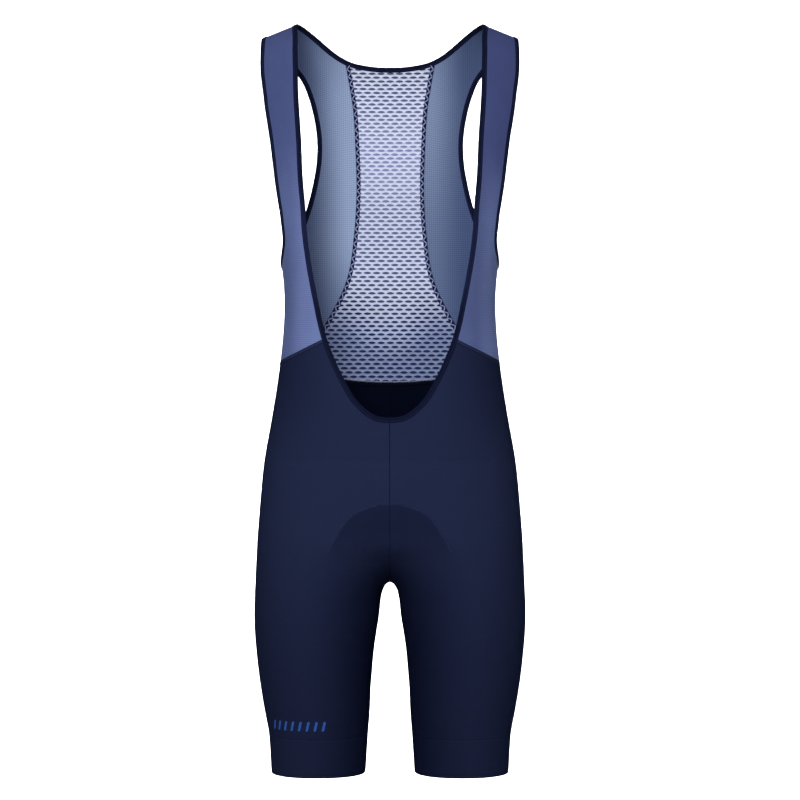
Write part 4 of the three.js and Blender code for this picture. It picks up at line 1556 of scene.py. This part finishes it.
# Overlocked seams lie on the inside, raised, with a zigzag of pale thread over a dark bed
OVERLOCK_SECTION = (
    (-2.7, -0.5),
    (-2.3, -1.5),
    (-1.0, -1.9),
    (1.0, -1.9),
    (2.3, -1.5),
    (2.7, -0.5),
)
OVERLOCK_PITCH = 4.9


def overlock(points, normals, shift=0):
    """The bed of a seam, its pale zigzag and its dark outer row. The shift moves it to one side of its line."""
    across = unit(np.cross(np.gradient(points, axis=0), normals))
    points = points + across * shift
    bed = ribbon(points, across, normals, OVERLOCK_SECTION)[:2]
    steps, ways, ups = even_steps(points, [across, normals], OVERLOCK_PITCH)
    rng = random.Random(7)
    side = np.where(np.arange(len(steps)) % 2, 2.2, -2.2)[:, None]
    jitter = np.array([rng.uniform(-0.35, 0.35) for _ in range(len(steps))])[:, None]
    along = unit(np.gradient(steps, axis=0))
    zigzag = steps + ways * side - ups * 1.75 + along * jitter
    pale = stitches(zigzag[:-1], zigzag[1:], -ups[:-1], 0.82)
    middle = steps + ways * 2.4 - ups * 1.8
    return bed, pale, stitches(middle[:-1], middle[1:], -ups[:-1], 0.3)


def build_seams():
    black = plain("inner seam", linear(7, 10, 24))
    dark = plain("seam bed", linear(16, 22, 56))
    pale = plain("overlock thread", linear(136, 144, 182))
    mid = plain("needle thread", linear(30, 36, 78))
    lines = mesh_seam_line
    points, normals = torso_grid(lines)
    bed, zigzag, rails = overlock(points, normals)
    for wearer in ("left", "right"):
        if wearer == "right":
            bed, zigzag, rails = mirrored(*bed), mirrored(*zigzag), mirrored(*rails)
        trim(f"mesh_seam_bed_{wearer}", *bed, dark, "back_side_knit")
        trim(f"mesh_seam_zigzag_{wearer}", *zigzag, pale, "back_side_knit")
        trim(f"mesh_seam_rails_{wearer}", *rails, mid, "back_side_knit")

    # The back waist: a dark overlocked seam from side to side, and the mesh's pale cut edge above it
    half = np.concatenate([back_waist_outer, back_waist_inner[1:]])
    whole = np.concatenate([half, over(half[:-1])[::-1]])
    points, normals = torso_grid(whole)
    bed, zigzag, rails = overlock(points, normals, 3.0)
    for part, parts in (("bed", bed), ("zigzag", zigzag), ("rails", rails)):
        trim(f"waist_seam_{part}", *parts, black, "shorts_knit")
    build_frill()

    side = line(side_waist, arm_cloth[0], SIDE_SEAM_CELLS)
    points, normals = torso_grid(side)
    bed, zigzag, rails = overlock(points, normals)
    indigo_thread = plain("side seam thread", linear(70, 80, 122))
    for part, parts in (("bed", bed), ("zigzag", zigzag), ("rails", rails)):
        trim(f"side_seam_{part}", *gathered([parts, mirrored(*parts)]), indigo_thread, "strap_knit")


FRILL_PITCH = 3.6


def build_frill():
    """Small loops of the mesh's cut edge stand over the back waist seam, on the inside."""
    half = back_waist_inner
    whole = np.concatenate([half, over(half[:-1])[::-1]])
    points, normals = torso_grid(whole)
    steps, ups = even_steps(points, [normals], FRILL_PITCH / 2)
    ups = unit(ups)
    down = np.array([0, 0, -1.0])
    rng = random.Random(11)
    reach = np.array([rng.uniform(0.4, 1.0) for _ in range(len(steps))])
    reach = np.where(np.arange(len(steps)) % 2, 0.8 + reach, -0.8)[:, None]
    loops = steps + down * reach - ups * 2.0
    threads = stitches(loops[:-1], loops[1:], -ups[:-1], 0.32)
    pale = plain("mesh edge loops", linear(168, 176, 206))
    trim("mesh_edge_loops", *threads, pale, "mesh_knit")


# Stage, light and camera

FLOOR_Z = -2.6
WALL_Y = 5.0
WALL_BEND = 1.6
STAGE_HALF = 7.0
PHOTO_LENS = 115.2
PHOTO_SENSOR = 36
CAMERA = (0.0125, -3.2, -0.47)
AIR = 0.28


def build_stage():
    """A pale floor that sweeps up into a wall."""
    profile = [(-STAGE_HALF, FLOOR_Z), (WALL_Y - WALL_BEND, FLOOR_Z)]
    steps = 12
    for step in range(1, steps + 1):
        angle = step / steps * math.pi / 2
        profile.append(
            (WALL_Y - WALL_BEND + WALL_BEND * math.sin(angle), FLOOR_Z + WALL_BEND - WALL_BEND * math.cos(angle))
        )
    profile.append((WALL_Y, 3.4))
    vertices = [(x, y, z) for y, z in profile for x in (-STAGE_HALF, STAGE_HALF)]
    faces = [(2 * i, 2 * i + 1, 2 * i + 3, 2 * i + 2) for i in range(len(profile) - 1)]
    mesh = bpy.data.meshes.new("studio_sweep")
    mesh.from_pydata(vertices, [], faces)
    mesh.polygons.foreach_set("use_smooth", np.ones(len(mesh.polygons), bool))
    obj = bpy.data.objects.new("studio_sweep", mesh)
    bpy.context.scene.collection.objects.link(obj)
    obj.data.materials.append(plain("studio paper", (0.9, 0.9, 0.91)))


def area_light(name, at, aim, size, watts, spread=180):
    data = bpy.data.lights.new(name, "AREA")
    data.shape = "RECTANGLE"
    data.size, data.size_y = size
    data.energy = watts
    data.spread = math.radians(spread)
    obj = bpy.data.objects.new(name, data)
    obj.location = at
    direction = np.array(aim, float) - np.array(at, float)
    yaw = math.atan2(direction[0], -direction[1])
    tilt = math.atan2(math.hypot(direction[0], direction[1]), -direction[2])
    obj.rotation_euler = (tilt, 0, yaw + math.pi)
    bpy.context.scene.collection.objects.link(obj)


def build_lights():
    area_light("key above the camera", (-0.35, -2.3, 0.6), (0, 0, -0.4), (0.9, 0.9), 7.8, 60)
    area_light("low fill", (0.9, -3.4, -0.2), (0, 0, -0.5), (1.4, 1.4), 10)
    area_light("wall wash left", (-3.2, 2.2, -0.3), (0.3, WALL_Y, -0.5), (1.0, 2.0), 165, 100)
    area_light("wall wash right", (3.2, 2.2, -0.3), (-0.3, WALL_Y, -0.5), (1.0, 2.0), 165, 100)
    world = bpy.data.worlds.new("studio air")
    world.use_nodes = True
    world.node_tree.nodes["Background"].inputs["Color"].default_value = (1, 1, 1, 1)
    world.node_tree.nodes["Background"].inputs["Strength"].default_value = AIR
    bpy.context.scene.world = world
    bpy.context.scene.view_settings.view_transform = "Standard"


def build_camera():
    data = bpy.data.cameras.new("photo camera")
    data.sensor_width = PHOTO_SENSOR
    data.lens = PHOTO_LENS
    data.clip_end = 60
    obj = bpy.data.objects.new("photo camera", data)
    obj.location = CAMERA
    obj.rotation_euler = (math.pi / 2, 0, 0)
    bpy.context.scene.collection.objects.link(obj)
    bpy.context.scene.camera = obj


def build():
    navy = knit_navy()
    inside = inside_navy_painted_shade()
    build_shorts(navy, inside)
    build_pad_stitches()
    build_dashes()
    build_bands(navy, inside)
    build_upper(rib_indigo(), grid_steel())
    build_bindings(tape_dark())
    build_pad()
    build_mesh()
    build_seams()
    build_stage()
    build_lights()
    build_camera()


build()
